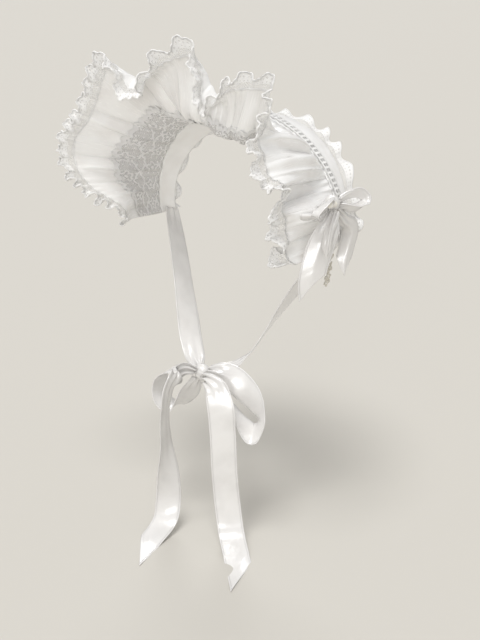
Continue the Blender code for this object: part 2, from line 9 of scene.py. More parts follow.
import bmesh
import bpy
import numpy as np
from mathutils import Matrix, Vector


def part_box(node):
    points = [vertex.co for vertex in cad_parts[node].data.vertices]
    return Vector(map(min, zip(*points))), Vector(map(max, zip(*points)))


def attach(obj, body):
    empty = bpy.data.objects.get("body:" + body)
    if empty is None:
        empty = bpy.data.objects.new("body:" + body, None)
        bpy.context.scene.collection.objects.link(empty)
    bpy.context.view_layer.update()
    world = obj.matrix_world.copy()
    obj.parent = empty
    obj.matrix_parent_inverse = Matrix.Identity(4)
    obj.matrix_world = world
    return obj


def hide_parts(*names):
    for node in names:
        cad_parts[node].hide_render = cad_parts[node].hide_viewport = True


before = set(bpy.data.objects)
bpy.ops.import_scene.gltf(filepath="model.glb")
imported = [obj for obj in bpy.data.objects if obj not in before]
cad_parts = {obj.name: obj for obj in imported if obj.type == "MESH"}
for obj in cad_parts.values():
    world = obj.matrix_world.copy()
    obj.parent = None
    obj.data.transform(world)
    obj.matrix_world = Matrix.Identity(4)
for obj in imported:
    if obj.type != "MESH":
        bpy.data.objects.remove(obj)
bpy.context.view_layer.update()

# Walls and gap of the solids
BASE_WALL = 0.0025
BRIM_WALL = 0.0016
GAP = 0.0003

# Base band: a strip of the egg shape around the dressed head
HEAD_HALF_WIDTH = 0.110
HEAD_HALF_LENGTH = 0.134
CROWN_RISE = 0.1045
ARC_END = 97.0
SEAM_BACK = 0.005
SEAM_END_BACK = 0.014
BASE_WIDTH = 0.058
BASE_END_WIDTH = 0.020
BASE_SATIN_SHARE = 0.8
BAND_PUCKER = 0.0005
BAND_PUCKER_FADE = 0.12
BAND_SLACK = 0.0007

# Brim and its finer relief
BRIM_REACH = 0.095
CREASE_SHARPNESS = 1.4
SEAM_GATHER = 0.0008
SEAM_GATHER_FADE = 0.16
SEAM_GATHER_START = 0.03
EDGE_PUCKER = 0.0006
EDGE_PUCKER_LENGTH = 0.0085
EDGE_PUCKER_FADE = 0.09
BRIM_SLACK = 0.0008

# Lace facing: distances in metres, its first row and its scallops' depth as shares of the reach
FACING_START = 0.02
FACING_SCALLOP = 0.0105
FACING_SCALLOP_DEPTH = 0.045
FACING_RUFFLE = 0.0007
FACING_RUFFLE_LENGTH = 0.013
FACING_LIFT = 0.0006

# Frills: gathered strips, sewn on and leaving the brim at shares of its reach
FRILL_ROWS = 11
FRILL_WIDTH = 0.0155
FRILL_DEPTH = 0.0046
FRILL_LAP = 0.34
FRILL_ARC = 0.34
FRILL_SEWN = 0.992
FRILL_LEAVES = 0.94
FRILL_SCALLOP = 0.0066
FRILL_SCALLOP_DEPTH = 0.0018
HEAD_PUCKER = 0.0004
BACK_FRILL_WIDTH = 0.0145
BACK_FRILL_DEPTH = 0.0036
BACK_FRILL_GATHER = 0.0250
BACK_FRILL_ARC = 0.6
BACK_FRILL_LAP = 0.16
BACK_FRILL_RISE = 32.0
BACK_FRILL_INSET = 0.001

# Ladder trim on the band, beside the brim's seam
LADDER_WIDTH = 0.010
LADDER_INSET = 0.001
LADDER_LIFT = 0.0006
LADDER_ARCH = 0.0004

# Walls of the cloth and radii of the cords
SATIN_WALL = 0.0011
NET_WALL = 0.0003
TRIM_WALL = 0.0005
RIBBON_WALL = 0.0006
CORD_RADIUS = 0.0009
BACK_CORD = 0.0008
LADDER_CORD = 0.0007
FACING_CORD = 0.0006
STRAND_CORD = 0.0005
RING_CORD = 0.00062

# Ribbons and bows
CHIN_RIBBON = 0.025
CHIN_SPAN = 0.100
TAIL_CUT = 0.042
CHIN_KNOT = (0.008, -0.064, -0.240)
CHIN_KNOT_RADIUS = 0.0082
JAW_BULGE = 0.019
JAW_WAY = (0.6, 0.4, -0.7)
STRAP_INSET = 0.001
BOW_RIBBON = 0.024
BOW_SPAN = 0.100
BOW_CUT = 0.026
BOW_KNOT = (0.1206, -0.022, -0.067)
BOW_KNOT_RADIUS = 0.0072
PLEAT_DEPTH = 0.0034
RIBBON_RIPPLE = 0.0002
RIBBON_ARCH = 0.0006
POLE_MERGE = 1e-6

# Pearls and lace drop: the drop hangs on the brim at these shares of its arc and reach
PEARL_RADIUS = 0.0028
PEARL_DIMPLE = 0.10
PEARL_DIMPLE_WIDTH = 0.20
DROP_ALONG = 0.985
DROP_ACROSS = 0.22
DROP_STRAND_LENGTH = 0.42
DROP_STRAND_BOW = 0.0012
DROP_WOBBLE = 0.0003

# Points along and across each grid
BAND_GRID = (221, 21)
BRIM_GRID = (641, 45)
FACING_GRID = (561, 27)
BRIM_FRILL_POINTS = 1501
BACK_FRILL_POINTS = 621
LADDER_GRID = (321, 9)
RIBBON_GRID = (90, 24)
STRAP_GRID = (110, 20)
KNOT_GRID = (41, 64)
PEARL_GRID = (25, 36)

# The brim's folds, as in the solids
FOLD_COLUMNS = ("along", "flare", "reach", "sweep", "root", "belly", "tip", "lip")
BRIM_FOLDS = (
    (-1.000, 104, 0.72, 4, 86, 0.28, 120, 0.25),
    (-0.887, 102, 0.84, 5, 84, 0.32, 112, 0.28),
    (-0.794, 84, 0.98, 4, 82, 0.34, 84, 0.30),
    (-0.711, 75, 1.05, 1, 80, 0.36, 70, 0.32),
    (-0.619, 67, 1.07, 0, 82, 0.36, 56, 0.32),
    (-0.495, 64, 1.00, -3, 90, 0.36, 58, 0.30),
    (-0.412, 58, 1.00, -2, 84, 0.36, 48, 0.30),
    (-0.360, 53, 1.10, 8, 80, 0.40, 46, 0.30),
    (-0.310, 58, 1.02, 5, 92, 0.54, 84, 0.42),
    (-0.260, 66, 0.92, -2, 110, 0.67, 132, 0.56),
    (-0.196, 68, 0.93, 0, 109, 0.81, 130, 0.58),
    (-0.145, 59, 0.95, 6, 105, 0.98, 88, 0.40),
    (-0.093, 55, 0.95, 11, 104, 1.07, 56, 0.32),
    (-0.041, 55, 0.93, 12, 104, 1.17, 54, 0.34),
    (0.000, 60, 0.85, 8, 106, 1.20, 78, 0.40),
    (0.035, 70, 0.80, 4, 110, 1.22, 116, 0.52),
    (0.070, 77, 0.79, 0, 113, 1.27, 132, 0.68),
    (0.105, 81, 0.75, 0, 113, 1.25, 124, 0.60),
    (0.135, 74, 0.77, 0, 113, 1.17, 92, 0.46),
    (0.170, 67, 0.81, 0, 114, 1.01, 56, 0.38),
    (0.220, 63, 0.86, 0, 115, 0.88, 36, 0.40),
    (0.300, 58, 0.93, -2, 107, 0.82, 20, 0.46),
    (0.371, 58, 1.00, -3, 98, 0.50, 34, 0.38),
    (0.412, 69, 1.00, 0, 66, 0.36, 66, 0.32),
    (0.455, 77, 1.00, -4, 50, 0.38, 96, 0.34),
    (0.500, 79, 1.00, -3, 70, 0.34, 90, 0.30),
    (0.540, 82, 0.99, -2, 48, 0.40, 112, 0.34),
    (0.580, 84, 0.98, -1, 64, 0.34, 104, 0.32),
    (0.619, 80, 0.95, 0, 80, 0.34, 84, 0.30),
    (0.655, 83, 0.92, -2, 94, 0.36, 56, 0.30),
    (0.691, 86, 0.93, 0, 96, 0.38, 50, 0.32),
    (0.732, 87, 0.94, 0, 78, 0.34, 80, 0.30),
    (0.775, 89, 0.88, -2, 66, 0.36, 112, 0.30),
    (0.820, 92, 0.86, 1, 72, 0.34, 108, 0.30),
    (0.860, 90, 0.88, 2, 84, 0.30, 84, 0.28),
    (0.907, 95, 0.84, 2, 78, 0.30, 108, 0.28),
    (0.950, 92, 0.84, 4, 76, 0.30, 100, 0.26),
    (1.000, 88, 0.80, 0, 78, 0.28, 92, 0.25),
)
RIBBON_COLUMNS = ("x", "y", "z", "across_x", "across_y", "across_z", "width")
CHIN_LOOP_LEFT = (
    (0.078, -0.010, 0.030, 0.2, 0.6, 0.5, 0.34),
    (0.16, -0.02, 0.05, 0.4, 0.6, 0.7, 0.66),
    (0.27, 0.02, 0.03, 0.6, 0.6, 0.6, 0.95),
    (0.45, 0.06, -0.08, 0.6, 0.4, 0.7, 1.00),
    (0.58, 0.08, -0.24, 0.8, -0.2, 0.5, 1.00),
    (0.64, 0.07, -0.40, 0.7, -0.7, 0.0, 1.00),
    (0.59, 0.03, -0.50, 0.4, -0.8, -0.5, 1.00),
    (0.46, 0.00, -0.40, 0.2, -1.0, 0.1, 1.00),
    (0.30, -0.01, -0.22, 0.1, -0.8, 0.6, 0.88),
    (0.17, -0.02, -0.11, 0.1, -0.5, 0.8, 0.54),
    (0.082, -0.010, -0.046, 0.2, -0.4, 0.8, 0.30),
)
CHIN_LOOP_RIGHT = (
    (-0.081, -0.026, 0.008, 0.1, 0.9, 0.3, 0.30),
    (-0.21, -0.08, 0.00, -0.1, 1.0, 0.1, 0.66),
    (-0.36, -0.06, -0.04, -0.1, 1.0, 0.0, 0.92),
    (-0.46, -0.06, -0.12, -0.1, 1.0, 0.0, 1.00),
    (-0.48, -0.09, -0.25, -0.1, 1.0, 0.0, 1.00),
    (-0.42, -0.10, -0.38, -0.1, 1.0, 0.0, 1.00),
    (-0.33, -0.07, -0.43, 0.0, 1.0, 0.0, 1.00),
    (-0.23, -0.01, -0.35, 0.3, 0.9, 0.0, 1.00),
    (-0.15, 0.01, -0.21, 0.4, 0.8, 0.1, 0.90),
    (-0.076, 0.005, -0.070, 0.4, 0.8, 0.2, 0.34),
)
CHIN_TAIL_RIGHT = (
    (-0.036, -0.066, 0.030, 0.5, 0.1, 0.8, 0.30),
    (-0.08, -0.20, 0.07, 0.1, 0.7, 0.7, 0.60),
    (-0.08, -0.38, 0.00, -0.1, 1.0, 0.0, 0.86),
    (-0.11, -0.43, -0.23, -0.3, 0.9, 0.0, 0.96),
    (-0.14, -0.41, -0.65, -0.2, 0.9, 0.0, 0.96),
    (-0.15, -0.38, -1.00, 0.3, 0.9, 0.0, 1.00),
    (-0.16, -0.37, -1.26, 0.7, 0.7, 0.0, 1.00),
    (-0.15, -0.44, -1.47, 0.9, 0.3, 0.0, 1.00),
    (-0.14, -0.66, -1.575, 1.0, 0.1, 0.0, 1.00),
    (-0.07, -1.08, -1.58, 1.0, 0.2, 0.0, 1.00),
)
CHIN_TAIL_LEFT = (
    (0.062, -0.074, -0.034, -0.3, 0.2, 0.9, 0.30),
    (0.18, -0.17, 0.03, 0.1, 0.3, 0.9, 0.50),
    (0.31, -0.20, -0.02, 0.7, 0.5, 0.5, 0.86),
    (0.37, -0.22, -0.14, 0.9, 0.5, 0.1, 1.00),
    (0.41, -0.23, -0.43, 0.9, 0.5, 0.0, 1.00),
    (0.43, -0.23, -0.85, 0.9, 0.5, 0.0, 1.00),
    (0.46, -0.22, -1.22, 0.8, 0.6, 0.0, 1.00),
    (0.52, -0.25, -1.45, 0.8, 0.6, 0.0, 1.00),
    (0.69, -0.40, -1.57, 0.7, 0.7, 0.0, 1.00),
    (1.07, -0.79, -1.58, 0.7, 0.7, 0.0, 1.00),
)
BOW_LOOP_BACK = (
    (0.033, 0.058, 0.018, 0.6, -0.1, 0.8, 0.35),
    (0.085, 0.15, 0.035, 0.7, -0.36, 0.6, 0.65),
    (0.13, 0.23, 0.025, 0.7, -0.36, 0.6, 0.80),
    (0.150, 0.265, 0.00, 0.7, -0.36, 0.5, 0.70),
    (0.120, 0.225, -0.025, 0.7, -0.36, 0.5, 0.80),
    (0.07, 0.145, -0.032, 0.7, -0.3, 0.6, 0.65),
    (0.022, 0.078, -0.030, 0.6, -0.1, 0.7, 0.30),
)
BOW_LOOP_FRONT = (
    (0.035, -0.062, 0.020, 0.1, 0.2, 1.0, 0.35),
    (0.08, -0.22, 0.055, 0.5, 0.0, 0.8, 0.65),
    (0.10, -0.40, 0.04, 0.6, -0.05, 0.7, 0.80),
    (0.095, -0.49, 0.00, 0.6, -0.05, 0.7, 0.80),
    (0.06, -0.40, -0.04, 0.6, 0.0, 0.7, 0.80),
    (0.015, -0.22, -0.045, 0.3, 0.1, 0.8, 0.60),
    (-0.020, -0.070, -0.012, -0.1, 0.1, 1.0, 0.35),
)
BOW_TAIL_FRONT = (
    (0.024, -0.022, -0.074, 0.7, 0.6, 0.1, 0.35),
    (0.05, -0.13, -0.19, 0.7, 0.6, 0.2, 0.80),
    (0.03, -0.22, -0.35, 0.7, 0.6, 0.2, 1.00),
    (0.01, -0.28, -0.53, 0.7, 0.6, 0.2, 1.00),
    (0.00, -0.30, -0.68, 0.7, 0.6, 0.2, 1.00),
    (0.01, -0.29, -0.81, 0.7, 0.6, 0.2, 1.00),
)
BOW_TAIL_MIDDLE = (
    (0.062, -0.046, -0.058, 0.6, 0.7, 0.1, 0.35),
    (0.105, -0.19, -0.17, 0.6, 0.6, 0.1, 0.60),
    (0.115, -0.24, -0.30, 0.6, 0.6, 0.1, 0.60),
    (0.10, -0.24, -0.42, 0.6, 0.6, 0.1, 0.50),
)
BOW_TAIL_BACK = (
    (0.012, 0.048, -0.066, 0.5, 0.2, 0.6, 0.30),
    (0.04, 0.16, -0.19, 0.6, 0.5, 0.5, 0.60),
    (0.06, 0.26, -0.28, 0.7, 0.6, 0.3, 0.80),
    (0.05, 0.25, -0.42, 0.6, 0.7, 0.2, 0.80),
    (0.035, 0.21, -0.58, 0.5, 0.8, 0.2, 0.75),
    (0.03, 0.20, -0.70, 0.5, 0.8, 0.2, 0.60),
)
STRAP_COLUMNS = ("along", "bulge", "across_x", "across_y", "across_z", "width")
CHIN_STRAP = (
    (0.00, 0.00, 0.0, 1.0, 0.0, 0.70),
    (0.20, 0.12, 0.0, 1.0, -0.2, 1.00),
    (0.45, 0.46, -0.2, 0.9, -0.3, 1.00),
    (0.62, 0.78, -0.4, 0.8, -0.3, 1.00),
    (0.78, 1.00, -0.5, 0.8, -0.2, 0.95),
    (0.90, 0.74, -0.6, 0.7, 0.2, 0.70),
    (0.96, 0.24, -0.4, 0.5, 0.6, 0.34),
)

# Creases in the satin: along at the seam and at the edge, depth in metres, half width as along
CREASE_COLUMNS = ("at_seam", "at_edge", "depth", "spread")
CREASES = (
    (-0.93, -0.96, 0.0020, 0.020),
    (-0.85, -0.86, -0.0030, 0.016),
    (-0.78, -0.79, 0.0026, 0.016),
    (-0.71, -0.71, -0.0052, 0.014),
    (-0.67, -0.66, 0.0040, 0.018),
    (-0.58, -0.59, -0.0024, 0.016),
    (-0.50, -0.49, -0.0060, 0.014),
    (-0.455, -0.45, 0.0046, 0.018),
    (-0.40, -0.385, -0.0020, 0.012),
    (-0.29, -0.28, -0.0030, 0.012),
    (-0.20, -0.21, 0.0030, 0.014),
    (-0.11, -0.12, -0.0026, 0.012),
    (0.01, -0.01, 0.0026, 0.012),
    (0.11, 0.09, -0.0024, 0.012),
    (0.19, 0.20, 0.0026, 0.012),
    (0.26, 0.27, -0.0026, 0.010),
    (0.33, 0.34, 0.0020, 0.010),
    (0.42, 0.41, -0.0030, 0.010),
    (0.47, 0.46, 0.0036, 0.012),
    (0.53, 0.535, -0.0034, 0.010),
    (0.59, 0.58, 0.0034, 0.012),
    (0.64, 0.645, -0.0034, 0.010),
    (0.70, 0.70, 0.0030, 0.010),
    (0.75, 0.755, -0.0030, 0.010),
    (0.81, 0.80, 0.0028, 0.010),
    (0.87, 0.875, -0.0030, 0.010),
    (0.93, 0.94, 0.0024, 0.010),
)
# Frill gathers along the brim's edge: length of one, depth, width and arc as shares of the frill's own
GATHER_COLUMNS = ("along", "gather", "deep", "wide", "arc")
FRILL_GATHERS = (
    (-1.00, 0.0115, 0.95, 0.95, 0.3),
    (-0.60, 0.0120, 1.00, 1.00, 0.3),
    (-0.40, 0.0150, 1.10, 1.00, 0.5),
    (-0.30, 0.0190, 1.10, 1.00, 0.7),
    (-0.18, 0.0230, 0.95, 0.95, 1.0),
    (-0.03, 0.0240, 0.95, 0.95, 1.0),
    (0.05, 0.0180, 0.90, 0.75, 0.5),
    (0.15, 0.0180, 0.80, 0.65, 0.3),
    (0.25, 0.0250, 0.95, 0.90, 1.0),
    (0.34, 0.0230, 0.95, 0.90, 0.9),
    (0.43, 0.0160, 0.90, 0.90, 0.4),
    (0.52, 0.0190, 1.05, 0.95, 0.6),
    (0.62, 0.0240, 1.20, 1.05, 0.9),
    (1.00, 0.0240, 1.20, 1.10, 0.9),
)
# How far the lace facing reaches over the satin, as a share from seam to edge
FACING_ENDS = (
    (-1.00, 0.56),
    (-0.62, 0.60),
    (-0.46, 0.56),
    (-0.37, 0.46),
    (-0.28, 0.36),
    (-0.15, 0.32),
    (0.00, 0.34),
    (0.10, 0.50),
    (0.22, 0.60),
    (0.40, 0.56),
    (1.00, 0.56),
)
# Grooves of a knot's wraps: place along the way it lies, depth and half width as shares of the radius
KNOT_GROOVES = (
    (0.35, 0.06, 0.09),
    (-0.20, 0.07, 0.10),
    (0.05, 0.05, 0.06),
)
# Rings of the lace drop: place from its middle as a share of its half height, petals, radius, petal depth
DROP_RINGS = (
    (-0.42, 4, 0.0034, 0.18),
    (0.10, 5, 0.0046, 0.30),
    (0.10, 5, 0.0018, 0.10),
    (0.62, 6, 0.0052, 0.26),
    (0.62, 6, 0.0022, 0.12),
)


def columns(names, rows):
    """Turn a table's rows into one array per named column."""
    return dict(zip(names, np.array(rows, dtype=float).T))


def smooth(stations, values, at):
    """Cubic Hermite curve through the values, its slopes from the neighbours."""
    slopes = np.gradient(values, stations, axis=0)
    at = np.clip(at, stations[0], stations[-1])
    i = np.clip(np.searchsorted(stations, at, side="right") - 1, 0, len(stations) - 2)
    span = stations[i + 1] - stations[i]
    t = (at - stations[i]) / span
    if values.ndim > 1:
        span, t = span[..., None], t[..., None]
    start = (1 + 2 * t) * (1 - t) ** 2 * values[i] + t * (1 - t) ** 2 * span * slopes[i]
    end = t * t * (3 - 2 * t) * values[i + 1] - t * t * (1 - t) * span * slopes[i + 1]
    return start + end


def unit(vectors):
    """Vectors brought to length one, where they have a length at all."""
    return vectors / np.maximum(np.linalg.norm(vectors, axis=-1, keepdims=True), 1e-12)


def running_length(line):
    """Length along a line of points, counted from its first."""
    return np.concatenate([[0], np.cumsum(np.linalg.norm(np.diff(line, axis=0), axis=1))])


def uneven_wave(at, waves, swing, drift):
    """A sine whose repeats grow and shrink, so that neighbouring folds differ."""
    return np.sin(waves * at + swing * np.sin(drift * at))


def seam_y(along):
    """The band's front edge, as y, at a share of the arc."""
    theta = np.radians(ARC_END * along)
    return SEAM_BACK + (SEAM_END_BACK - SEAM_BACK) * (1 - np.cos(theta))


def band_width(along):
    """The band's width from front to rear, which narrows towards the ears."""
    return BASE_END_WIDTH + (BASE_WIDTH - BASE_END_WIDTH) * np.cos(np.radians(90 * along)) ** 2


def egg(along, y, lift=0.0):
    """Point on the band's outside: an ellipsoid slice at y, turned by the share of the arc."""
    theta = np.radians(ARC_END * along)
    side, length, rise = HEAD_HALF_WIDTH + lift, HEAD_HALF_LENGTH + lift, CROWN_RISE + lift
    ring = np.sqrt(1 - (y / length) ** 2)
    centre = BASE_WALL - CROWN_RISE
    return np.stack([side * ring * np.sin(theta), y + 0 * theta, centre + rise * ring * np.cos(theta)], -1)


def seam_frame(along):
    """Out, forward and sideways directions where the brim leaves the band."""
    theta = np.radians(ARC_END * along)
    out = unit(np.stack([np.sin(theta) / HEAD_HALF_WIDTH, 0 * theta, np.cos(theta) / CROWN_RISE], -1))
    forward = np.broadcast_to((0.0, -1.0, 0.0), out.shape)
    sideways = np.cross(out, forward)
    turned = sideways[..., 0] * np.cos(theta) - sideways[..., 2] * np.sin(theta)
    sideways *= np.sign(turned)[..., None]
    return out, forward, sideways


def brim(along, across):
    """Cubic Bezier from the seam (across 0) to the fold table's edge (across 1) at each along."""
    fold = columns(FOLD_COLUMNS, BRIM_FOLDS)
    flare, reach, sweep, root, belly, tip, lip = (
        smooth(fold["along"], fold[name], along)[..., None] for name in FOLD_COLUMNS[1:])
    flare, sweep, root, tip = (np.radians(angle) for angle in (flare, sweep, root, tip))
    out, forward, sideways = seam_frame(along)
    lean = np.abs(np.cos(root))[..., 0] * BRIM_WALL / 2
    start = egg(along, seam_y(along) - GAP - lean, -BASE_WALL / 2)
    edge_way = np.cos(sweep) * (np.cos(flare) * out + np.sin(flare) * forward) + np.sin(sweep) * sideways
    edge = start + BRIM_REACH * reach * edge_way
    leave = start + BRIM_REACH * belly * (np.cos(root) * out + np.sin(root) * forward)
    arrive = edge - BRIM_REACH * lip * (np.cos(tip) * out + np.sin(tip) * forward)
    v = np.asarray(across, dtype=float)[..., None]
    w = 1 - v
    return w ** 3 * start + 3 * v * w * w * leave + 3 * v * v * w * arrive + v ** 3 * edge


def brim_normal(along, across, step=0.004):
    """Unit normal on the brim's upper and rear side, from differences of the surface."""
    low, high = np.clip(along - step, -1, 1), np.clip(along + step, -1, 1)
    sideways = brim(high, across) - brim(low, across)
    outward = brim(along, across + step) - brim(along, across - step)
    return unit(np.cross(outward, sideways))


EDGE_FINE = np.linspace(-1, 1, 1601)
EDGE_LENGTH = running_length(brim(EDGE_FINE, 1 + 0 * EDGE_FINE))


def edge_length(along):
    """Length of the brim's edge from its right end to a share of the arc."""
    return np.interp(along, EDGE_FINE, EDGE_LENGTH)


def even_along(count, across):
    """Shares of the arc that split the brim's line at across into equal lengths."""
    length = running_length(brim(EDGE_FINE, across + 0 * EDGE_FINE))
    return np.interp(np.linspace(0, length[-1], count), length, EDGE_FINE)


def brim_rise(along, across):
    """Height of the finer relief: sharp creases, gathers that fade from the seam, puckers at the edge."""
    crease = columns(CREASE_COLUMNS, CREASES)
    swell = np.sin(np.pi * np.clip(across * 0.92 + 0.06, 0, 1)) ** 0.7
    rise = np.zeros(np.broadcast(along, across).shape)
    for at_seam, at_edge, depth, spread in zip(*(crease[name] for name in CREASE_COLUMNS)):
        middle = at_seam + (at_edge - at_seam) * across
        away = np.abs(along - middle) / spread
        rise = rise + depth * np.exp(-away * CREASE_SHARPNESS) * swell
    gathers = uneven_wave(along, 128, 2.1, 9) + 0.6 * uneven_wave(along, 211, 1.7, 13)
    fading = np.exp(-across / SEAM_GATHER_FADE) * np.minimum(across / SEAM_GATHER_START, 1)
    rise = rise + SEAM_GATHER * fading * gathers
    puckers = np.sin(2 * np.pi * edge_length(along) / EDGE_PUCKER_LENGTH + 2 * np.sin(31 * along))
    rise = rise + EDGE_PUCKER * np.exp(-(1 - across) / EDGE_PUCKER_FADE) * puckers
    slack = np.sin(17 * along + 5 * across) * np.sin(41 * along - 3 * across + 1)
    return rise + BRIM_SLACK * slack * np.sin(np.pi * np.clip(across, 0, 1))


def brim_cloth(along, across, lift=0.0):
    """The brim with its finer relief, lifted off along its normal."""
    return brim(along, across) + brim_normal(along, across) * (brim_rise(along, across) + lift)[..., None]


def lengths(grid, axis):
    """Running length along one way of a grid, averaged over the other."""
    step = np.linalg.norm(np.diff(grid, axis=axis), axis=2).mean(axis=1 - axis)
    return np.concatenate([[0], np.cumsum(step)])


def shares(counts):
    """A grid of shares along the arc and across."""
    return np.meshgrid(np.linspace(-1, 1, counts[0]), np.linspace(0, 1, counts[1]), indexing="ij")


def linked(name, data):
    """An object of this data, in the scene."""
    made = bpy.data.objects.new(name, data)
    bpy.context.scene.collection.objects.link(made)
    return made


def new_piece(name, points, faces, uv, material, rim=None):
    """A mesh piece from arrays, with a UV map in metres and, on nets, its distance from the edge."""
    mesh = bpy.data.meshes.new(name)
    mesh.from_pydata(points.reshape(-1, 3).tolist(), [], faces)
    layer = mesh.uv_layers.new(name="UVMap")
    corner = np.empty(len(mesh.loops), dtype=np.int32)
    mesh.loops.foreach_get("vertex_index", corner)
    layer.data.foreach_set("uv", uv.reshape(-1, 2)[corner].ravel().astype(np.float32))
    if rim is not None:
        distance = mesh.attributes.new("rim", "FLOAT", "POINT")
        distance.data.foreach_set("value", rim.ravel().astype(np.float32))
    mesh.shade_smooth()
    mesh.update()
    mesh.materials.append(material)
    return linked(name, mesh)


def place(piece, node=None):
    """Every piece rides the one body and may stand for a solid."""
    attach(piece, "root")
    if node:
        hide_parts(node)


def grid_faces(rows, cols, closed=False):
    """Quads of a grid, rows by columns, closed round its columns or not."""
    i, j = np.meshgrid(np.arange(rows - 1), np.arange(cols if closed else cols - 1), indexing="ij")
    k = (j + 1) % cols
    return np.stack([i * cols + j, (i + 1) * cols + j, (i + 1) * cols + k, i * cols + k], -1).reshape(-1, 4)


def cloth(name, grid, wall, material, node, rim=None, breadth=None):
    """A sheet of cloth: a grid of points, a wall round it, and the solid that it stands for.
    Its map across is as wide as the breadth, where one is given, and otherwise as the grid."""
    rows, cols = grid.shape[:2]
    across = np.linspace(0, breadth, cols) if breadth else lengths(grid, 1)
    u, v = np.meshgrid(lengths(grid, 0), across, indexing="ij")
    piece = new_piece(name, grid, grid_faces(rows, cols).tolist(), np.stack([u, v], -1), material, rim)
    thick = piece.modifiers.new("wall", "SOLIDIFY")
    thick.thickness = wall
    thick.offset = 0.0
    place(piece, node)


def tube(name, path, reference, radius, material, sides=8, closed=False):
    """A corded edge: a circle carried along a path, square to it and set by a reference direction."""
    rows = len(path)
    way = unit(np.roll(path, -1, 0) - np.roll(path, 1, 0)) if closed else unit(np.gradient(path, axis=0))
    side = unit(np.cross(way, np.broadcast_to(reference, path.shape)))
    up = np.cross(way, side)
    turn = np.linspace(0, 2 * np.pi, sides, endpoint=False)
    ring = np.cos(turn)[None, :, None] * side[:, None] + np.sin(turn)[None, :, None] * up[:, None]
    uv = np.stack(np.broadcast_arrays(running_length(path)[:, None], turn[None, :] * radius), -1)
    faces = grid_faces(rows, sides, closed=True)[:, ::-1].tolist()
    if closed:
        joint = grid_faces(2, sides, closed=True)[:, ::-1]
        faces += np.where(joint < sides, joint + (rows - 1) * sides, joint - sides).tolist()
    else:
        faces += [list(range(sides)), list(range(rows * sides - 1, rows * sides - 1 - sides, -1))]
    piece = new_piece(name, path[:, None] + radius * ring, faces, uv, material)
    place(piece)
    return piece


class Shader:
    """A material's node tree, with short calls that add a node and wire its inputs."""

    def __init__(self, name):
        self.material = bpy.data.materials.new(name)
        self.material.use_nodes = True
        self.tree = self.material.node_tree
        self.surface = self.tree.nodes["Principled BSDF"]

    def put(self, socket, value):
        """Wire another node's output to a socket, or set the socket's value."""
        if isinstance(value, bpy.types.NodeSocket):
            self.tree.links.new(value, socket)
        else:
            socket.default_value = value

    def node(self, kind, output=0, inputs=(), **settings):
        """Add a node and give back one of its outputs."""
        made = self.tree.nodes.new(kind)
        for name, value in settings.items():
            setattr(made, name, value)
        for key, value in dict(inputs).items():
            self.put(made.inputs[key], value)
        return made.outputs[output]

    def math(self, operation, *values):
        return self.node("ShaderNodeMath", inputs=dict(enumerate(values)), operation=operation)

    def plus(self, first, second):
        return self.math("ADD", first, second)

    def minus(self, first, second):
        return self.math("SUBTRACT", first, second)

    def times(self, first, second):
        return self.math("MULTIPLY", first, second)

    def over(self, first, second):
        return self.math("DIVIDE", first, second)

    def size(self, value):
        return self.math("ABSOLUTE", value)

    def most(self, first, second):
        return self.math("MAXIMUM", first, second)

    def rest(self, share):
        """What a share leaves of one."""
        return self.minus(1.0, share)

    def mix(self, share, first, second):
        """A colour between two, by a share."""
        made = self.tree.nodes.new("ShaderNodeMix")
        made.data_type = "RGBA"
        self.put(made.inputs["Factor"], share)
        self.put(made.inputs[6], first)
        self.put(made.inputs[7], second)
        return made.outputs[2]

    def uv(self):
        """The piece's own map, in metres: u along the cloth and v across it."""
        source = self.node("ShaderNodeUVMap", uv_map="UVMap")
        parts = self.tree.nodes.new("ShaderNodeSeparateXYZ")
        self.tree.links.new(source, parts.inputs[0])
        return parts.outputs[0], parts.outputs[1]

    def rim(self):
        """A net's distance from its free edge, in metres."""
        return self.node("ShaderNodeAttribute", output=2, attribute_name="rim")

    def noise(self, u, v, scale_u, scale_v, detail=2.0, rough=0.5):
        """Noise on the piece's map, with its own number of repeats per metre along and across."""
        spread = {0: self.times(u, scale_u), 1: self.times(v, scale_v)}
        spot = self.node("ShaderNodeCombineXYZ", inputs=spread)
        return self.node("ShaderNodeTexNoise", inputs={"Vector": spot, "Scale": 1.0, "Detail": detail,
                                                       "Roughness": rough})

    def object_noise(self, scale, detail):
        """Noise in the piece's own space."""
        spot = self.node("ShaderNodeTexCoord", output=3)
        return self.node("ShaderNodeTexNoise", inputs={"Vector": spot, "Scale": scale, "Detail": detail})

    def step(self, value, low, high):
        """0 below low, 1 above high, with a soft change between."""
        made = self.tree.nodes.new("ShaderNodeMapRange")
        made.interpolation_type = "SMOOTHSTEP"
        self.put(made.inputs[0], value)
        made.inputs[1].default_value, made.inputs[2].default_value = low, high
        return made.outputs[0]

    def wrap(self, value, period):
        """Distance from the middle of a repeat, as a share of it: 0 in the middle, 0.5 at its ends."""
        return self.size(self.minus(self.math("FRACT", self.over(value, period)), 0.5))

    def squares(self, first, second):
        """Sum of the squares of two values."""
        return self.plus(self.math("POWER", first, 2.0), self.math("POWER", second, 2.0))

    def bump(self, height, depth, strength):
        inputs = {"Height": height, "Distance": depth, "Strength": strength}
        self.put(self.surface.inputs["Normal"], self.node("ShaderNodeBump", inputs=inputs))

    def set(self, **values):
        """Set or wire the surface's own inputs, and give back the material."""
        for name, value in values.items():
            self.put(self.surface.inputs[name.replace("_", " ")], value)
        return self.material


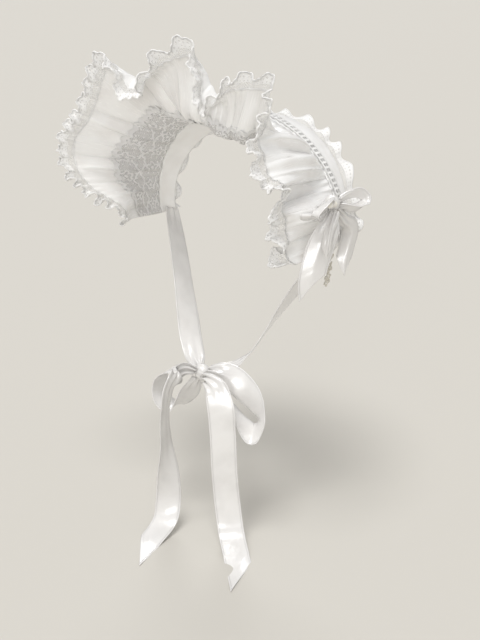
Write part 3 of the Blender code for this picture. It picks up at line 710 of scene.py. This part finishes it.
# Colours
WHITE = (0.93, 0.925, 0.915, 1.0)
SOFT_SHADE = (0.87, 0.855, 0.84, 1.0)
# Ribbon colours: the brim's satin painted darker, as painted shade for the dimmer light on the ribbons
RIBBON_SHADED_WHITE = (0.78, 0.765, 0.75, 1.0)
RIBBON_SHADE = (0.72, 0.705, 0.69, 1.0)
THREAD = (0.96, 0.955, 0.945, 1.0)
THREAD_SHADE = (0.88, 0.87, 0.855, 1.0)
# Lace ground: the white thread painted darker, as painted shade between the raised sprigs
SHADED_GROUND_THREAD = (0.91, 0.895, 0.88, 1.0)
CREAM = (0.90, 0.87, 0.79, 1.0)
CREAM_SHADE = (0.76, 0.71, 0.60, 1.0)
PEARL_LIGHT = (0.93, 0.91, 0.87, 1.0)
PEARL_SHADE = (0.80, 0.76, 0.70, 1.0)
PAPER = (0.578, 0.555, 0.510, 1.0)

# Noise on the cloth: repeats per metre along and across
SATIN_FLOATS = (260, 5200)
SATIN_SLUBS = (900, 60)
SATIN_FOLDS = (60, 12)
NET_FUZZ = (1900, 1900)
MOTIF_FUZZ = (2100, 2100)
LADDER_FUZZ = (1800, 1800)
CORD_FUZZ = (2600, 2600)

# Lace: lengths in metres
NET_PITCH = 0.0024
NET_BORDER = 0.0088
EYELET = 0.0036
MOTIF_TILE = 0.028
MOTIF_PITCH = 0.0018
MOTIF_PINS = 0.0032
LADDER_BARS = 0.0052
SELVEDGE_INSET = 0.0016
CORD_TWIST = 900.0
CORD_SLANT = 5200.0

# Eyelet rows in a frill's border: distance from the edge as a share of the border, and hole size
EYELET_ROWS = (
    (0.36, 1.0),
    (0.78, 0.7),
)


def satin(name, light, shade, roughness, wrinkle=1.0, selvedge=None):
    """Satin: long floats along u, slubs, and wrinkles that run across u and fade into each other.
    A ribbon has a woven line beside each edge, selvedge being its half width."""
    made = Shader(name)
    u, v = made.uv()
    floats = made.noise(u, v, *SATIN_FLOATS, detail=3.0)
    slubs = made.noise(u, v, *SATIN_SLUBS)
    folds = made.noise(u, v, *SATIN_FOLDS, detail=1.5, rough=0.4)
    uneven = made.object_noise(38, 2.0)
    made.set(Base_Color=made.mix(made.step(uneven, 0.30, 0.60), shade, light))
    made.set(Roughness=made.plus(roughness - 0.05, made.times(slubs, 0.10)), IOR=1.6)
    height = made.plus(made.times(floats, 0.015), made.times(folds, 1.6 * wrinkle))
    height = made.plus(height, made.times(slubs, 0.02))
    if selvedge:
        from_middle = made.size(made.minus(v, selvedge))
        from_line = made.size(made.minus(from_middle, selvedge - SELVEDGE_INSET))
        woven = made.rest(made.step(from_line, 0.0001, 0.0004))
        height = made.minus(height, made.times(woven, 0.25))
    made.bump(height, depth=0.0022, strength=0.8)
    return made.set(Sheen_Weight=0.25, Sheen_Roughness=0.35, Specular_IOR_Level=0.75, Anisotropic=0.5,
                    Coat_Weight=0.45, Coat_Roughness=0.20,
                    Subsurface_Weight=0.10, Subsurface_Radius=(0.003, 0.003, 0.0028), Subsurface_Scale=1.0)


def net_threads(made, u, v, pitch, share):
    """Diamond net: a thread where either slanted repeat is near its ends."""
    first = made.wrap(made.plus(u, v), pitch)
    second = made.wrap(made.minus(u, v), pitch)
    return made.step(made.most(first, second), 0.5 - share, 0.5 - share * 0.6)


def net(name):
    """Gathered lace: diamond net at the head, then a worked border with two rows of eyelets."""
    made = Shader(name)
    u, v = made.uv()
    rim = made.rim()
    threads = net_threads(made, u, v, NET_PITCH, 0.15)
    band = made.rest(made.step(rim, NET_BORDER * 0.94, NET_BORDER))
    holes = 0.0
    for row, size in EYELET_ROWS:
        across = made.over(made.minus(rim, NET_BORDER * row), EYELET)
        away = made.squares(made.wrap(u, EYELET), across)
        holes = made.most(holes, made.rest(made.step(away, 0.035 * size, 0.055 * size)))
    cover = made.most(threads, made.times(band, made.rest(holes)))
    made.set(Alpha=cover)
    fuzz = made.noise(u, v, *NET_FUZZ)
    made.set(Base_Color=made.mix(fuzz, THREAD_SHADE, THREAD))
    made.bump(made.plus(cover, made.times(fuzz, 0.3)), depth=0.0004, strength=0.5)
    return made.set(Roughness=0.6, Sheen_Weight=0.2, Sheen_Roughness=0.5, Subsurface_Weight=0.35,
                    Subsurface_Radius=(0.005, 0.005, 0.0046), Subsurface_Scale=1.0)


def sprigs(made, u, v, tile):
    """Worked sprigs: five-petalled rings with a heart on an offset repeat, wavy vines, and dots."""
    row = made.math("FLOOR", made.over(v, tile))
    shifted = made.plus(u, made.times(row, tile * 0.5))
    x = made.minus(made.math("FRACT", made.over(shifted, tile)), 0.5)
    y = made.minus(made.math("FRACT", made.over(v, tile)), 0.5)
    radius = made.math("SQRT", made.plus(made.times(x, x), made.times(y, y)))
    petal = made.times(made.math("COSINE", made.times(made.math("ARCTAN2", y, x), 5.0)), 0.055)
    outline = made.size(made.minus(made.minus(radius, petal), 0.21))
    ring = made.rest(made.step(outline, 0.035, 0.060))
    heart = made.rest(made.step(radius, 0.06, 0.085))
    wave = made.times(made.math("SINE", made.times(u, 2 * math.pi / tile)), 0.10)
    vine = made.rest(made.step(made.size(made.minus(made.size(y), made.plus(0.38, wave))), 0.030, 0.055))
    dots = made.squares(made.wrap(u, tile / 4), made.wrap(v, tile / 4))
    dot = made.rest(made.step(dots, 0.012, 0.03))
    return made.most(made.most(ring, heart), made.most(vine, dot))


def motif_lace(name):
    """Net with embroidered sprigs, a closely pinned ground and a plain worked border. Its ground is painted
    darker than the sprigs, as painted shade between the raised sprigs.
    """
    made = Shader(name)
    u, v = made.uv()
    border = made.rest(made.step(made.rim(), 0.0050, 0.0058))
    sprig = made.most(sprigs(made, u, v, MOTIF_TILE), border)
    pin = made.squares(made.wrap(u, MOTIF_PINS), made.wrap(v, MOTIF_PINS))
    ground = made.times(made.step(pin, 0.03, 0.06), 0.55)
    made.set(Alpha=made.most(sprig, made.most(ground, net_threads(made, u, v, MOTIF_PITCH, 0.08))))
    fuzz = made.noise(u, v, *MOTIF_FUZZ)
    # Painted shade: the ground darker than the raised sprigs, with a random fuzz tone over both
    worked = made.plus(made.times(sprig, 0.75), made.times(fuzz, 0.25))
    made.set(Base_Color=made.mix(worked, SHADED_GROUND_THREAD, THREAD))
    made.bump(made.plus(made.times(sprig, 1.2), made.times(fuzz, 0.15)), depth=0.0004, strength=0.20)
    return made.set(Roughness=0.65, Sheen_Weight=0.2, Sheen_Roughness=0.5, Subsurface_Weight=0.35,
                    Subsurface_Radius=(0.004, 0.004, 0.0037), Subsurface_Scale=1.0)


def ladder_material(name):
    """Openwork trim: two solid edges, bars between them, and a cord down the middle."""
    made = Shader(name)
    u, v = made.uv()
    rim = made.rim()
    edges = made.rest(made.step(rim, 0.0018, 0.0023))
    bars = made.step(made.wrap(u, LADDER_BARS), 0.22, 0.30)
    middle = made.step(rim, 0.0042, 0.0046)
    cover = made.most(made.most(edges, bars), middle)
    made.set(Alpha=cover)
    fuzz = made.noise(u, v, *LADDER_FUZZ)
    made.set(Base_Color=made.mix(fuzz, THREAD_SHADE, THREAD))
    made.bump(made.plus(cover, made.times(fuzz, 0.5)), depth=0.0006, strength=0.8)
    return made.set(Roughness=0.72, Sheen_Weight=0.15, Sheen_Roughness=0.5)


def thread(name, light, shade):
    """Plied thread: slanted strands round the cord, fuzzy and matt. Its colour is painted darker in the
    grooves between strands as painted shade, and varies at random with the fuzz.
    """
    made = Shader(name)
    u, v = made.uv()
    turned = made.times(u, 2 * math.pi * CORD_TWIST)
    strands = made.math("SINE", made.plus(turned, made.times(v, CORD_SLANT)))
    fuzz = made.noise(u, v, *CORD_FUZZ, detail=3.0)
    # Painted shade in the grooves between strands, plus a random tone from the fuzz
    groove_shade_and_fuzz = made.plus(made.times(strands, 0.22), fuzz)
    made.set(Base_Color=made.mix(made.step(groove_shade_and_fuzz, 0.25, 0.75), shade, light))
    made.bump(made.plus(made.times(strands, 0.5), fuzz), depth=0.0003, strength=0.8)
    return made.set(Roughness=0.7, Sheen_Weight=0.2, Sheen_Roughness=0.5)


def pearl_material(name):
    """Pearl: a clear coat over a milky body that clouds slightly."""
    made = Shader(name)
    cloud = made.object_noise(420, 3.0)
    made.set(Base_Color=made.mix(cloud, PEARL_SHADE, PEARL_LIGHT))
    made.bump(cloud, depth=0.0001, strength=0.3)
    return made.set(Roughness=0.22, Coat_Weight=0.6, Coat_Roughness=0.06, Subsurface_Weight=0.3,
                    Subsurface_Radius=(0.002, 0.002, 0.0016), Subsurface_Scale=1.0)


BASE_SATIN = satin("base_satin", WHITE, SOFT_SHADE, roughness=0.38)
BRIM_SATIN = satin("brim_satin", WHITE, SOFT_SHADE, roughness=0.26, wrinkle=0.7)
# Ribbon satin: painted shade, its colours darker than the brim's satin
RIBBON_SATIN = satin("ribbon_satin", RIBBON_SHADED_WHITE, RIBBON_SHADE, roughness=0.22, wrinkle=0.35,
                     selvedge=CHIN_RIBBON / 2)
FRILL_NET = net("frill_net")
FACING_LACE = motif_lace("facing_lace")
LADDER_LACE = ladder_material("ladder_openwork")
EDGE_THREAD = thread("edge_thread", THREAD, THREAD_SHADE)
CREAM_THREAD = thread("cream_thread", CREAM, CREAM_SHADE)
PEARL = pearl_material("pearl_coat")


def base_band():
    """The band's satin strip, with soft lengthwise slack and a puckered front edge."""
    along, back = shares(BAND_GRID)
    y = seam_y(along) + band_width(along) * back
    pucker = BAND_PUCKER * np.exp(-back / BAND_PUCKER_FADE) * uneven_wave(along, 160, 2, 7)
    slack = BAND_SLACK * np.sin(np.pi * back) * np.sin(23 * along + 4 * back) * np.sin(9 * along + 1)
    grid = egg(along, y, -BASE_WALL / 2) + seam_frame(along)[0] * (pucker + slack)[..., None]
    cloth("base_band_satin", grid, BASE_WALL * BASE_SATIN_SHARE, BASE_SATIN,
          "base_band")


def brim_piece():
    """The brim's satin, in one sheet from the seam to the free edge."""
    share = np.linspace(0, 1, BRIM_GRID[1])
    along, across = np.meshgrid(even_along(BRIM_GRID[0], across=0.8), share, indexing="ij")
    cloth("brim_satin", brim_cloth(along, across), SATIN_WALL, BRIM_SATIN,
          "brim")


def facing_piece():
    """The lace on the brim's inner face, with a scalloped, corded edge and a slight ruffle."""
    share = np.linspace(FACING_START, 1, FACING_GRID[1])
    along, across = np.meshgrid(even_along(FACING_GRID[0], across=0.5), share, indexing="ij")
    length = edge_length(along[:, 0])
    scallop = np.abs(np.sin(np.pi * length / FACING_SCALLOP))[:, None]
    ends = np.array(FACING_ENDS)
    end = smooth(ends[:, 0], ends[:, 1], along[:, :1]) - FACING_SCALLOP_DEPTH * (1 - scallop)
    across = across * end
    ruffle = FACING_RUFFLE * np.sin(2 * np.pi * length / FACING_RUFFLE_LENGTH)[:, None] * share[None, :] ** 2
    grid = brim_cloth(along, across, -(SATIN_WALL / 2 + FACING_LIFT) - ruffle)
    cloth("lace_facing_net", grid, NET_WALL, FACING_LACE, "lace_facing",
          rim=(end - across) * BRIM_REACH)
    tube("lace_facing_cord", grid[:, -1], brim_normal(along[:, -1], across[:, -1]), FACING_CORD, EDGE_THREAD,
         sides=6)


def frill_points(edge, way, face, phase, deep, wide, arc, lap):
    """Gathered strip: it swings to each side as a sine, its shift along the edge, twice as fast,
    rounds each swing into a loop, and its free edge rises and falls by the arc's share."""
    v = np.linspace(0, 1, FRILL_ROWS)[None, :, None]
    tangent = unit(np.gradient(edge, axis=0))
    deep, wide, arc, phase = (part[:, None, None] for part in (deep, wide, arc, phase))
    swing = deep * np.sin(phase) * v ** 0.8 + HEAD_PUCKER * np.sin(phase * 5.3) * np.exp(-v / 0.2)
    shift = -lap * deep * np.sin(2 * phase) * v
    lift = 1 + FRILL_ARC * arc * np.sin(phase + 1.2) * v
    run = wide * v * lift * (1 - 0.06 * np.sin(phase) ** 2)
    return edge[:, None] + run * way[:, None] + swing * face[:, None] + shift * tangent[:, None]


def frill(node, grid, edge, way, face, width, cord):
    """A frill's net, the cord round its free edge and the thread at its gathered head."""
    rim = width * (1 - np.linspace(0, 1, FRILL_ROWS))[None, :] + np.zeros((len(grid), 1))
    cloth(node + "_net", grid, NET_WALL, FRILL_NET, node, rim=rim)
    tube(node + "_cord", grid[:, -1], way, cord, EDGE_THREAD, sides=7)
    tube(node + "_head", edge[::2], face[::2], CORD_RADIUS, EDGE_THREAD, sides=6)


def brim_frill_piece():
    """The frill on the brim's free edge, its gathers from their table, its own edge scalloped."""
    gathers = columns(GATHER_COLUMNS, FRILL_GATHERS)
    along = even_along(BRIM_FRILL_POINTS, across=1.0)
    period, deep, wide = (
        smooth(gathers["along"], gathers[name], along) for name in ("gather", "deep", "wide"))
    phase = np.concatenate([[0], np.cumsum(np.diff(edge_length(along)) * 2 * np.pi / period[1:])])
    phase = phase + 0.6 * np.sin(phase * 0.37) + 0.4 * np.sin(phase * 0.19 + 1)
    deep = FRILL_DEPTH * deep * (0.85 + 0.25 * np.sin(phase * 0.29 + 2))
    arc = np.interp(along, gathers["along"], gathers["arc"])
    edge = brim_cloth(along, FRILL_SEWN + 0 * along)
    way = unit(edge - brim_cloth(along, FRILL_LEAVES + 0 * along))
    face = brim_normal(along, 1 + 0 * along)
    grid = frill_points(edge, way, face, phase, deep, FRILL_WIDTH * wide, arc, FRILL_LAP)
    scallop = np.abs(np.sin(np.pi * running_length(grid[:, -1]) / FRILL_SCALLOP)) - 0.7
    towards_edge = np.linspace(0, 1, FRILL_ROWS)[None, :] ** 4
    grid = grid + way[:, None] * (FRILL_SCALLOP_DEPTH * scallop[:, None] * towards_edge)[..., None]
    frill("brim_frill", grid, edge, way, face, FRILL_WIDTH, CORD_RADIUS)


def back_frill_piece():
    """The frill on the band's rear edge, raised off the band by an angle."""
    fine = np.linspace(-1, 1, 801)
    length = running_length(egg(fine, seam_y(fine) + band_width(fine), -BASE_WALL / 2))
    along = np.interp(np.linspace(0, length[-1], BACK_FRILL_POINTS), length, fine)
    y = seam_y(along) + band_width(along)
    edge = egg(along, y - BACK_FRILL_INSET, -BASE_WALL / 2)
    flat_way = unit(edge - egg(along, y - LADDER_WIDTH, -BASE_WALL / 2))
    out = seam_frame(along)[0]
    flat_face = unit(out - np.sum(out * flat_way, axis=-1, keepdims=True) * flat_way)
    rise = math.radians(BACK_FRILL_RISE)
    way = math.cos(rise) * flat_way + math.sin(rise) * flat_face
    face = math.cos(rise) * flat_face - math.sin(rise) * flat_way
    phase = 2 * np.pi * np.interp(along, fine, length) / BACK_FRILL_GATHER
    phase = phase + 0.8 * np.sin(phase * 0.31)
    deep = BACK_FRILL_DEPTH * (0.9 + 0.25 * np.sin(phase * 0.23 + 1))
    wide, arc = BACK_FRILL_WIDTH + 0 * along, BACK_FRILL_ARC + 0 * along
    grid = frill_points(edge, way, face, phase, deep, wide, arc, BACK_FRILL_LAP)
    frill("back_frill", grid, edge, way, face, BACK_FRILL_WIDTH, BACK_CORD)


def ladder_piece():
    """The ladder trim on the band, slightly arched, with a cord along both edges."""
    along, back = shares(LADDER_GRID)
    y = seam_y(along) + LADDER_INSET + LADDER_WIDTH * back
    out = seam_frame(along)[0]
    lift = GAP + LADDER_LIFT + LADDER_ARCH * np.sin(np.pi * back) * (1 + 0.5 * np.sin(90 * along))
    grid = egg(along, y, 0.0) + out * lift[..., None]
    cloth("ladder_lace_trim", grid, TRIM_WALL, LADDER_LACE,
          "ladder_lace", rim=LADDER_WIDTH * np.minimum(back, 1 - back))
    tube("ladder_cord_front", grid[:, 0], out[:, 0], LADDER_CORD, EDGE_THREAD, sides=6)
    tube("ladder_cord_back", grid[:, -1], out[:, 0], LADDER_CORD, EDGE_THREAD, sides=6)


def ribbon_points(middle, across, width, counts, cut=0.0, point=0.0, fold=0.0, ribs=0.0):
    """Ribbon: a smooth middle line, its width square to it and bent along its middle by the fold angle,
    pleated where it narrows, with a slanted cut or a pointed end."""
    bends = running_length(middle)
    side = np.linspace(-1, 1, counts[1] + 1)[None, :]
    shorter = abs(cut) * (1 - side * np.sign(cut)) / 2 + point * np.abs(side)
    at = np.linspace(0, 1, counts[0] + 1)[:, None] * (bends[-1] - shorter)
    line = smooth(bends, middle, at)
    way = unit(np.gradient(line, axis=0))
    wide = smooth(bends, unit(across), at)
    wide = unit(wide - np.sum(wide * way, axis=2, keepdims=True) * way)
    size = smooth(bends, width, at)
    face = np.cross(way, wide)
    narrow = np.clip(1 - size / width.max(), 0, 1)
    bend = np.radians(fold) * np.sin(np.pi * np.clip(at / bends[-1], 0, 1)) ** 0.4
    pleat = PLEAT_DEPTH * narrow * np.cos(2.5 * np.pi * side + 0.6)
    pleat = pleat + RIBBON_RIPPLE * np.sin(at * 90 + side * 2)
    pleat = pleat + ribs * np.cos(3.5 * np.pi * side) + RIBBON_ARCH * (1 - side * side) * (1 - narrow)
    pleat = pleat - np.sqrt(side * side + 0.01) * size / 2 * np.sin(bend)
    return line + wide * (size / 2 * side * np.cos(bend))[..., None] + face * pleat[..., None]


def hang(node, grid):
    """A length of ribbon that stands for a solid."""
    cloth(node + "_ribbon", grid, RIBBON_WALL, RIBBON_SATIN, node, breadth=CHIN_RIBBON)


def ribbon(node, bow, rows, **shape):
    """One loop or tail of a bow, from its table in shares of the bow's span."""
    centre, span, width = bow
    row = columns(RIBBON_COLUMNS, rows)
    middle = np.array(centre) + span * np.stack([row["x"], row["y"], row["z"]], axis=1)
    across = np.stack([row["across_x"], row["across_y"], row["across_z"]], axis=1)
    hang(node, ribbon_points(middle, across, width * row["width"], RIBBON_GRID, **shape))


def strap(node, mirror):
    """One side of the chin ribbon, from inside the band's end round the jaw to the knot."""
    row = columns(STRAP_COLUMNS, CHIN_STRAP)
    end = np.array([[float(mirror)]])
    y = seam_y(end) + CHIN_RIBBON * 0.5
    top = egg(end, y, -BASE_WALL - GAP * 2 - STRAP_INSET)[0, 0] + np.array([0.0, 0.0, BASE_WALL])
    bulge_way = unit(np.array(JAW_WAY)) * (mirror, 1, 1)
    middle = top + (np.array(CHIN_KNOT) - top) * row["along"][:, None]
    middle = middle + JAW_BULGE * row["bulge"][:, None] * bulge_way
    across = np.stack([mirror * row["across_x"], row["across_y"], row["across_z"]], axis=1)
    hang(node, ribbon_points(middle, across, CHIN_RIBBON * row["width"], STRAP_GRID))


def ball_grid(counts):
    """Angles from a ball's pole and round it, and the unit ball's points there."""
    round_pole = np.linspace(0, 2 * np.pi, counts[1], endpoint=False)
    polar, turn = np.meshgrid(np.linspace(0, np.pi, counts[0]), round_pole, indexing="ij")
    ball = np.stack([np.sin(polar) * np.cos(turn), np.sin(polar) * np.sin(turn), np.cos(polar)], -1)
    return polar, turn, ball


def ball_piece(name, points, uv, material, node):
    """A closed piece from a ball's grid, its poles merged and its faces turned outward."""
    faces = grid_faces(*points.shape[:2], closed=True).tolist()
    piece = new_piece(name, points, faces, uv, material)
    work = bmesh.new()
    work.from_mesh(piece.data)
    bmesh.ops.remove_doubles(work, verts=work.verts, dist=POLE_MERGE)
    bmesh.ops.recalc_face_normals(work, faces=work.faces)
    work.to_mesh(piece.data)
    work.free()
    place(piece, node)


def knot(node, centre, radius, stretch, lay):
    """Bow knot: a pillow whose radius dips in grooves, as wrapped ribbon does."""
    turn, ball = ball_grid(KNOT_GRID)[1:]
    share = ball @ unit(np.array(lay))
    swell = 1
    for at, depth, half in KNOT_GROOVES:
        swell = swell - depth * np.exp(-((share - at) / half) ** 2)
    points = np.array(centre) + ball * (swell * radius)[..., None] * np.array(stretch)
    ball_piece(node + "_ribbon", points, np.stack([share, turn], -1) * radius, RIBBON_SATIN, node)


def pearl(node):
    """Pearl in the middle of its solid's box, with a dimple at its hole."""
    low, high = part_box(node)
    centre = [(a + b) / 2 for a, b in zip(low, high)]
    polar, turn, ball = ball_grid(PEARL_GRID)
    swell = 1 - PEARL_DIMPLE * np.exp(-(polar / PEARL_DIMPLE_WIDTH) ** 2)
    points = np.array(centre) + ball * (swell * PEARL_RADIUS)[..., None]
    ball_piece(node + "_bead", points, np.stack([polar, turn], -1) * PEARL_RADIUS, PEARL, node)


def lace_drop():
    """Corded pendant on the solid's own plane: two strands, a ring, and two looped flowers."""
    low, high = (np.array(corner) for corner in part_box("lace_drop"))
    middle = (low + high) / 2
    half = (high[2] - low[2]) / 2
    face = brim_normal(np.array([DROP_ALONG]), np.array([DROP_ACROSS]))[0]
    down = unit(np.array([0.0, 0.0, -1.0]) + face * face[2])
    side = np.cross(face, down)
    turn = np.linspace(0, 2 * np.pi, 120, endpoint=False)[:, None]
    for number, (place_down, petals, size, deep) in enumerate(DROP_RINGS, 1):
        reach = size * (1 + deep * np.cos(petals * turn))
        ring = middle + down * (half * place_down) + reach * (np.cos(turn) * down + np.sin(turn) * side)
        ring = ring + face * (DROP_WOBBLE * np.sin(3 * turn + petals))
        name = f"lace_drop_ring_{number}"
        piece = tube(name, ring, face, RING_CORD, CREAM_THREAD, closed=True)
        if number == 1:
            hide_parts("lace_drop")
    run = np.linspace(0, 1, 24)[:, None]
    for number, way in enumerate((-1, 1), 1):
        path = middle + down * (-half + half * DROP_STRAND_LENGTH * run)
        path = path + side * way * DROP_STRAND_BOW * np.sin(np.pi * run)
        tube(f"lace_drop_strand_{number}", path, face, STRAND_CORD, CREAM_THREAD)


base_band()
brim_piece()
facing_piece()
brim_frill_piece()
back_frill_piece()
ladder_piece()

CHIN = (CHIN_KNOT, CHIN_SPAN, CHIN_RIBBON)
strap("chin_strap_left", 1)
strap("chin_strap_right", -1)
knot("chin_knot", CHIN_KNOT, CHIN_KNOT_RADIUS, stretch=(1.0, 0.9, 1.0), lay=(0.2, 0.1, 1.0))
ribbon("chin_loop_left", CHIN, CHIN_LOOP_LEFT)
ribbon("chin_loop_right", CHIN, CHIN_LOOP_RIGHT)
ribbon("chin_tail_right", CHIN, CHIN_TAIL_RIGHT, cut=TAIL_CUT)
ribbon("chin_tail_left", CHIN, CHIN_TAIL_LEFT, cut=-TAIL_CUT)

BOW = (BOW_KNOT, BOW_SPAN, BOW_RIBBON)
knot("bow_knot", BOW_KNOT, BOW_KNOT_RADIUS, stretch=(1.0, 0.85, 1.0), lay=(0.1, 1.0, 0.3))
ribbon("bow_loop_front", BOW, BOW_LOOP_FRONT, fold=30)
ribbon("bow_loop_back", BOW, BOW_LOOP_BACK, fold=36)
ribbon("bow_tail_front", BOW, BOW_TAIL_FRONT, cut=-BOW_CUT, fold=12)
ribbon("bow_tail_middle", BOW, BOW_TAIL_MIDDLE, point=0.010, fold=52, ribs=0.0005)
ribbon("bow_tail_back", BOW, BOW_TAIL_BACK, point=0.016, fold=40)

pearl("pearl_front")
pearl("pearl_back")
lace_drop()

# Stage: plain pale floor that carries on as the backdrop, soft studio lights, the photograph's camera
FLOOR_HEIGHT = -0.399
FLOOR_HALF = 60.0
BACK = np.array([0.5523, -0.7602, 0.3420])
RIGHT = np.array([0.8090, 0.5878, 0.0])
UP = np.cross(BACK, RIGHT)
EYE = (0.52202, -0.71025, 0.11354)
LENS = 52.3125
SENSOR = 36.0
NEAREST = 0.01
WORLD_COLOUR = (0.92, 0.915, 0.905, 1.0)
WORLD_STRENGTH = 0.60
WARM_WHITE = (1.0, 0.997, 0.99)
COOL_WHITE = (0.98, 0.99, 1.0)

signs = ((-1, -1), (1, -1), (1, 1), (-1, 1))
floor_mesh = bpy.data.meshes.new("floor")
corners = [(x * FLOOR_HALF, y * FLOOR_HALF, FLOOR_HEIGHT) for x, y in signs]
floor_mesh.from_pydata(corners, [], [(0, 1, 2, 3)])
floor = linked("floor", floor_mesh)
paper = Shader("floor_paper")
floor_mesh.materials.append(paper.set(Base_Color=PAPER, Roughness=0.9))


def pose(right, up, back, spot):
    """Matrix of a light or camera that looks against its back direction."""
    return Matrix([[right[i], up[i], back[i], spot[i]] for i in range(3)] + [[0, 0, 0, 1]])


def sun(name, toward, strength, angle, colour):
    """Soft distant light that shines from a direction, its shadow edge set by its angle."""
    data = bpy.data.lights.new(name, "SUN")
    data.energy = strength
    data.angle = math.radians(angle)
    data.color = colour
    back = unit(np.array(toward))
    right = unit(np.cross((0.0, 0.1, 1.0), back))
    linked(name, data).matrix_world = pose(right, np.cross(back, right), back, (0.0, 0.0, 0.0))


sun("key", toward=(0.10, -0.35, 1.0), strength=1.75, angle=26, colour=WARM_WHITE)
sun("side", toward=(0.40, -0.90, 0.20), strength=0.75, angle=20, colour=WARM_WHITE)
sun("edge", toward=(-0.5, 0.6, 0.7), strength=0.5, angle=20, colour=COOL_WHITE)

world = bpy.data.worlds.new("studio")
world.use_nodes = True
world.node_tree.nodes["Background"].inputs["Color"].default_value = WORLD_COLOUR
world.node_tree.nodes["Background"].inputs["Strength"].default_value = WORLD_STRENGTH
bpy.context.scene.world = world

camera_data = bpy.data.cameras.new("camera")
camera_data.lens = LENS
camera_data.sensor_width = SENSOR
camera_data.clip_start = NEAREST
camera = linked("camera", camera_data)
camera.matrix_world = pose(RIGHT, UP, BACK, EYE)
bpy.context.scene.camera = camera
bpy.context.scene.view_settings.view_transform = "Standard"
